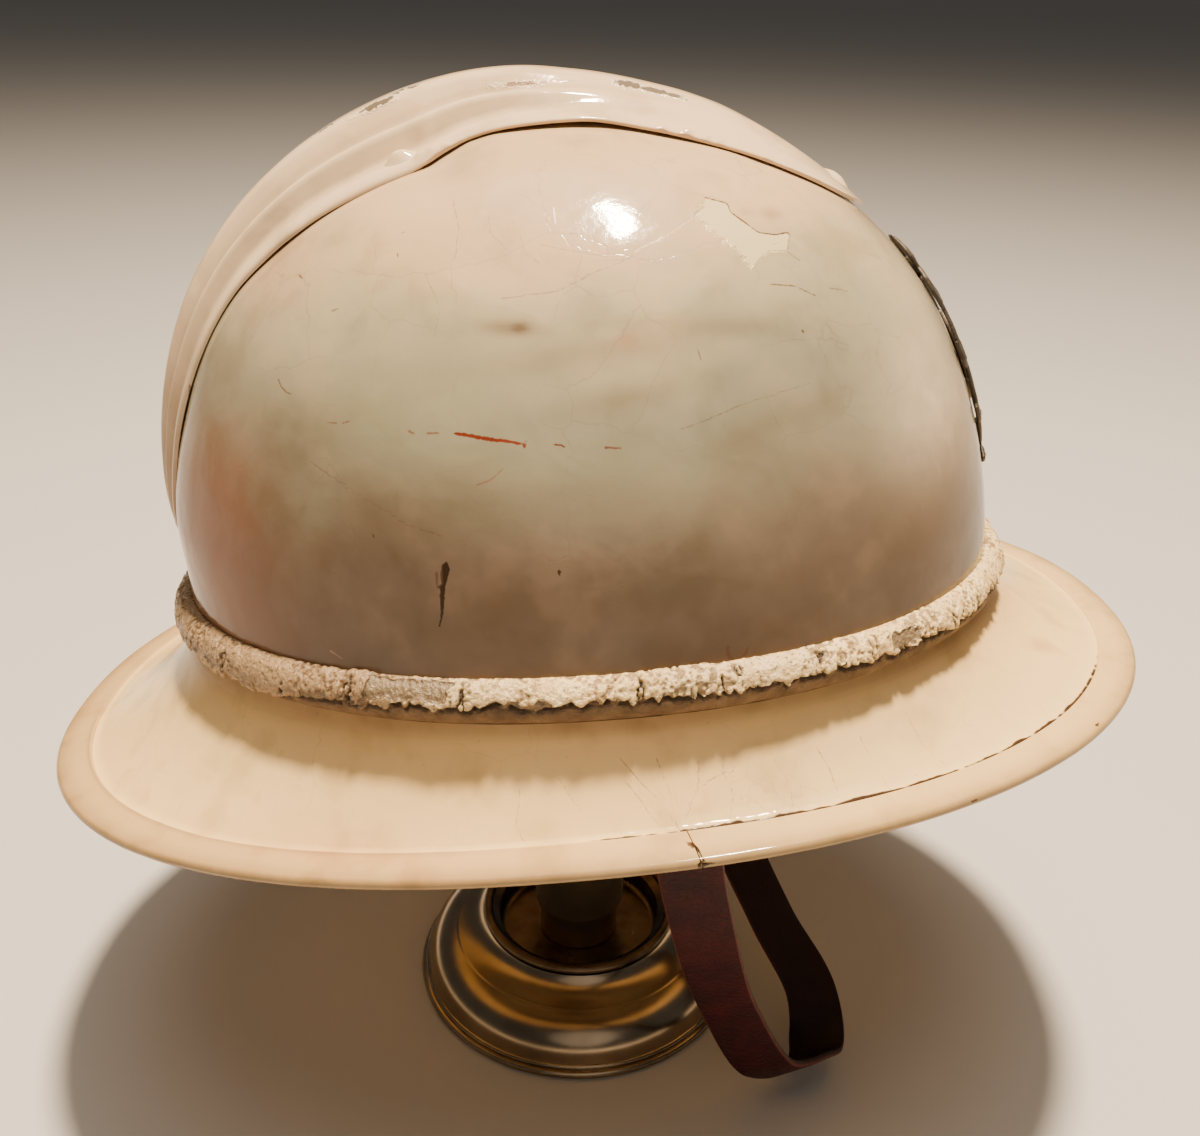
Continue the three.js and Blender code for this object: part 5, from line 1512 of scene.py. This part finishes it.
def make_brass(name, polished, tarnish, metallic=1.0):
    """Old brass. polished is its roughness, tarnish how much of it has gone brown, and metallic below 1
    stands for a dull film."""
    material, tree, shader, place = start_finish(name)
    clouds = lumps(tree, place, 26, 3, 0.5, 0.2)
    stains = lumps(tree, place, 7, 4, 0.55)
    spots = band(tree, lumps(tree, place, 1.6, 3), 0.72, 0.78)
    metal = ramp(tree, clouds, [(0.3, tint(150, 132, 108)), (0.5, tint(174, 154, 126)),
                                 (0.7, tint(194, 174, 146))])
    brown = times(tree, plus(tree, 0.55, times(tree, stains, 0.7)), tarnish)
    metal = blend(tree, brown, metal, tint(78, 62, 46))
    metal = blend(tree, times(tree, spots, 0.25), metal, tint(64, 48, 30))
    set_surface(tree, shader, metal, plus(tree, polished, times(tree, stains, 0.1)))
    shader.inputs["Metallic"].default_value = metallic
    # fine rings left by turning and polishing
    apart = put(tree, "SeparateXYZ", {0: place})
    radius = reckon(tree, "SQRT", plus(tree, reckon(tree, "POWER", apart.outputs["X"], 2.0),
                                         reckon(tree, "POWER", apart.outputs["Y"], 2.0)))
    ring_place = put(tree, "CombineXYZ", {0: radius, 1: 0.0, 2: apart.outputs["Z"]}).outputs[0]
    rings = times(tree, lumps(tree, ring_place, 0.6, 2), 0.012)
    dings = times(tree, lumps(tree, place, 11, 1), 0.05)
    set_relief(tree, shader, plus(tree, rings, dings), 0.5)
    return material


bright_brass = make_brass("polished brass", 0.18, 0.2)
rubbed_brass = make_brass("rubbed brass", 0.3, 0.45, 0.88)
brown_brass = make_brass("browned brass", 0.24, 0.92)
sleeve_rings = [
    (sleeve_inner, sleeve_start + 0.3), (sleeve_inner + 0.3, sleeve_start),
    (sleeve_outer - 0.3, sleeve_start), (sleeve_outer, sleeve_start + 0.3),
    (sleeve_outer, sleeve_end), (sleeve_inner, sleeve_end),
]
stand_pieces = [
    (turned_piece("stand_foot_turned", foot_profile), "stand_foot", bright_brass),
    (turned_piece("stand_dish_spun", dish_profile), "stand_dish", brown_brass),
    (turned_piece("stand_column_bar", column_profile), "stand_column", rubbed_brass),
    (make_piece("stand_sleeve_tube", turned_rings(sleeve_rings), joined=True, crease=60),
     "stand_sleeve", rubbed_brass),
    (turned_piece("stand_rest_mushroom", rest_profile), "stand_rest", brown_brass),
]
for piece, cad_name, finish in stand_pieces:
    piece.data.materials.append(finish)
    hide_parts(cad_name)
    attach(piece, "root")

# ---------------------------------------------------------------- floor, light and camera
# A plain pale floor. A small warm lamp hangs high over the helmet, a little forward and to its left; a
# broad soft light overhead and a weak one on the right lift the shadows. The camera looks down on the
# helmet's right side.
FLOOR_HALF = 12.0
floor_mesh = bpy.data.meshes.new("floor")
floor_mesh.from_pydata([(-FLOOR_HALF, -FLOOR_HALF, 0), (FLOOR_HALF, -FLOOR_HALF, 0),
                        (FLOOR_HALF, FLOOR_HALF, 0), (-FLOOR_HALF, FLOOR_HALF, 0)], [], [(0, 1, 2, 3)])
floor = bpy.data.objects.new("floor", floor_mesh)
bpy.context.scene.collection.objects.link(floor)
material, tree, shader, place = start_finish("pale floor")
shader.inputs["Base Color"].default_value = (0.62, 0.6, 0.57, 1)
shader.inputs["Roughness"].default_value = 0.9
floor_mesh.materials.append(material)


def area_light(name, place, target, size, watts, colour):
    lamp = bpy.data.lights.new(name, "AREA")
    lamp.shape, lamp.size, lamp.energy, lamp.color = "DISK", size, watts, colour
    light = bpy.data.objects.new(name, lamp)
    bpy.context.scene.collection.objects.link(light)
    heading = Vector(target) - Vector(place)
    light.matrix_world = Matrix.Translation(place) @ heading.to_track_quat("-Z", "Y").to_matrix().to_4x4()


helmet_middle = (dome_low + dome_high) / 2
area_light("lamp", helmet_middle + Vector((0.085, 0.075, 1.4)), helmet_middle, 0.16, 73, (1, 0.79, 0.56))
area_light("overhead", helmet_middle + Vector((0, -0.1, 1.3)), helmet_middle, 1.2, 10.5, (1, 0.83, 0.66))
area_light("fill", helmet_middle + Vector((0.1, -1.6, 0.8)), helmet_middle, 1.4, 2.3, (1, 0.86, 0.72))

world = bpy.data.worlds.new("studio")
world.use_nodes = True
world.node_tree.nodes["Background"].inputs["Color"].default_value = (0.8, 0.76, 0.72, 1)
world.node_tree.nodes["Background"].inputs["Strength"].default_value = 0.1
bpy.context.scene.world = world

camera_data = bpy.data.cameras.new("camera")
camera_data.sensor_width, camera_data.lens = 36.0, 37.5
camera = bpy.data.objects.new("camera", camera_data)
bpy.context.scene.collection.objects.link(camera)
CAMERA_PLACE = (-0.0101, -0.3197, 0.3058)
heading, dip, roll = math.radians(2.55), math.radians(26.45), math.radians(1.46)
camera.matrix_world = (Matrix.Translation(CAMERA_PLACE) @ Matrix.Rotation(-heading, 4, "Z")
                       @ Matrix.Rotation(math.pi / 2 - dip, 4, "X") @ Matrix.Rotation(roll, 4, "Z"))
bpy.context.scene.camera = camera

bpy.context.view_layer.update()
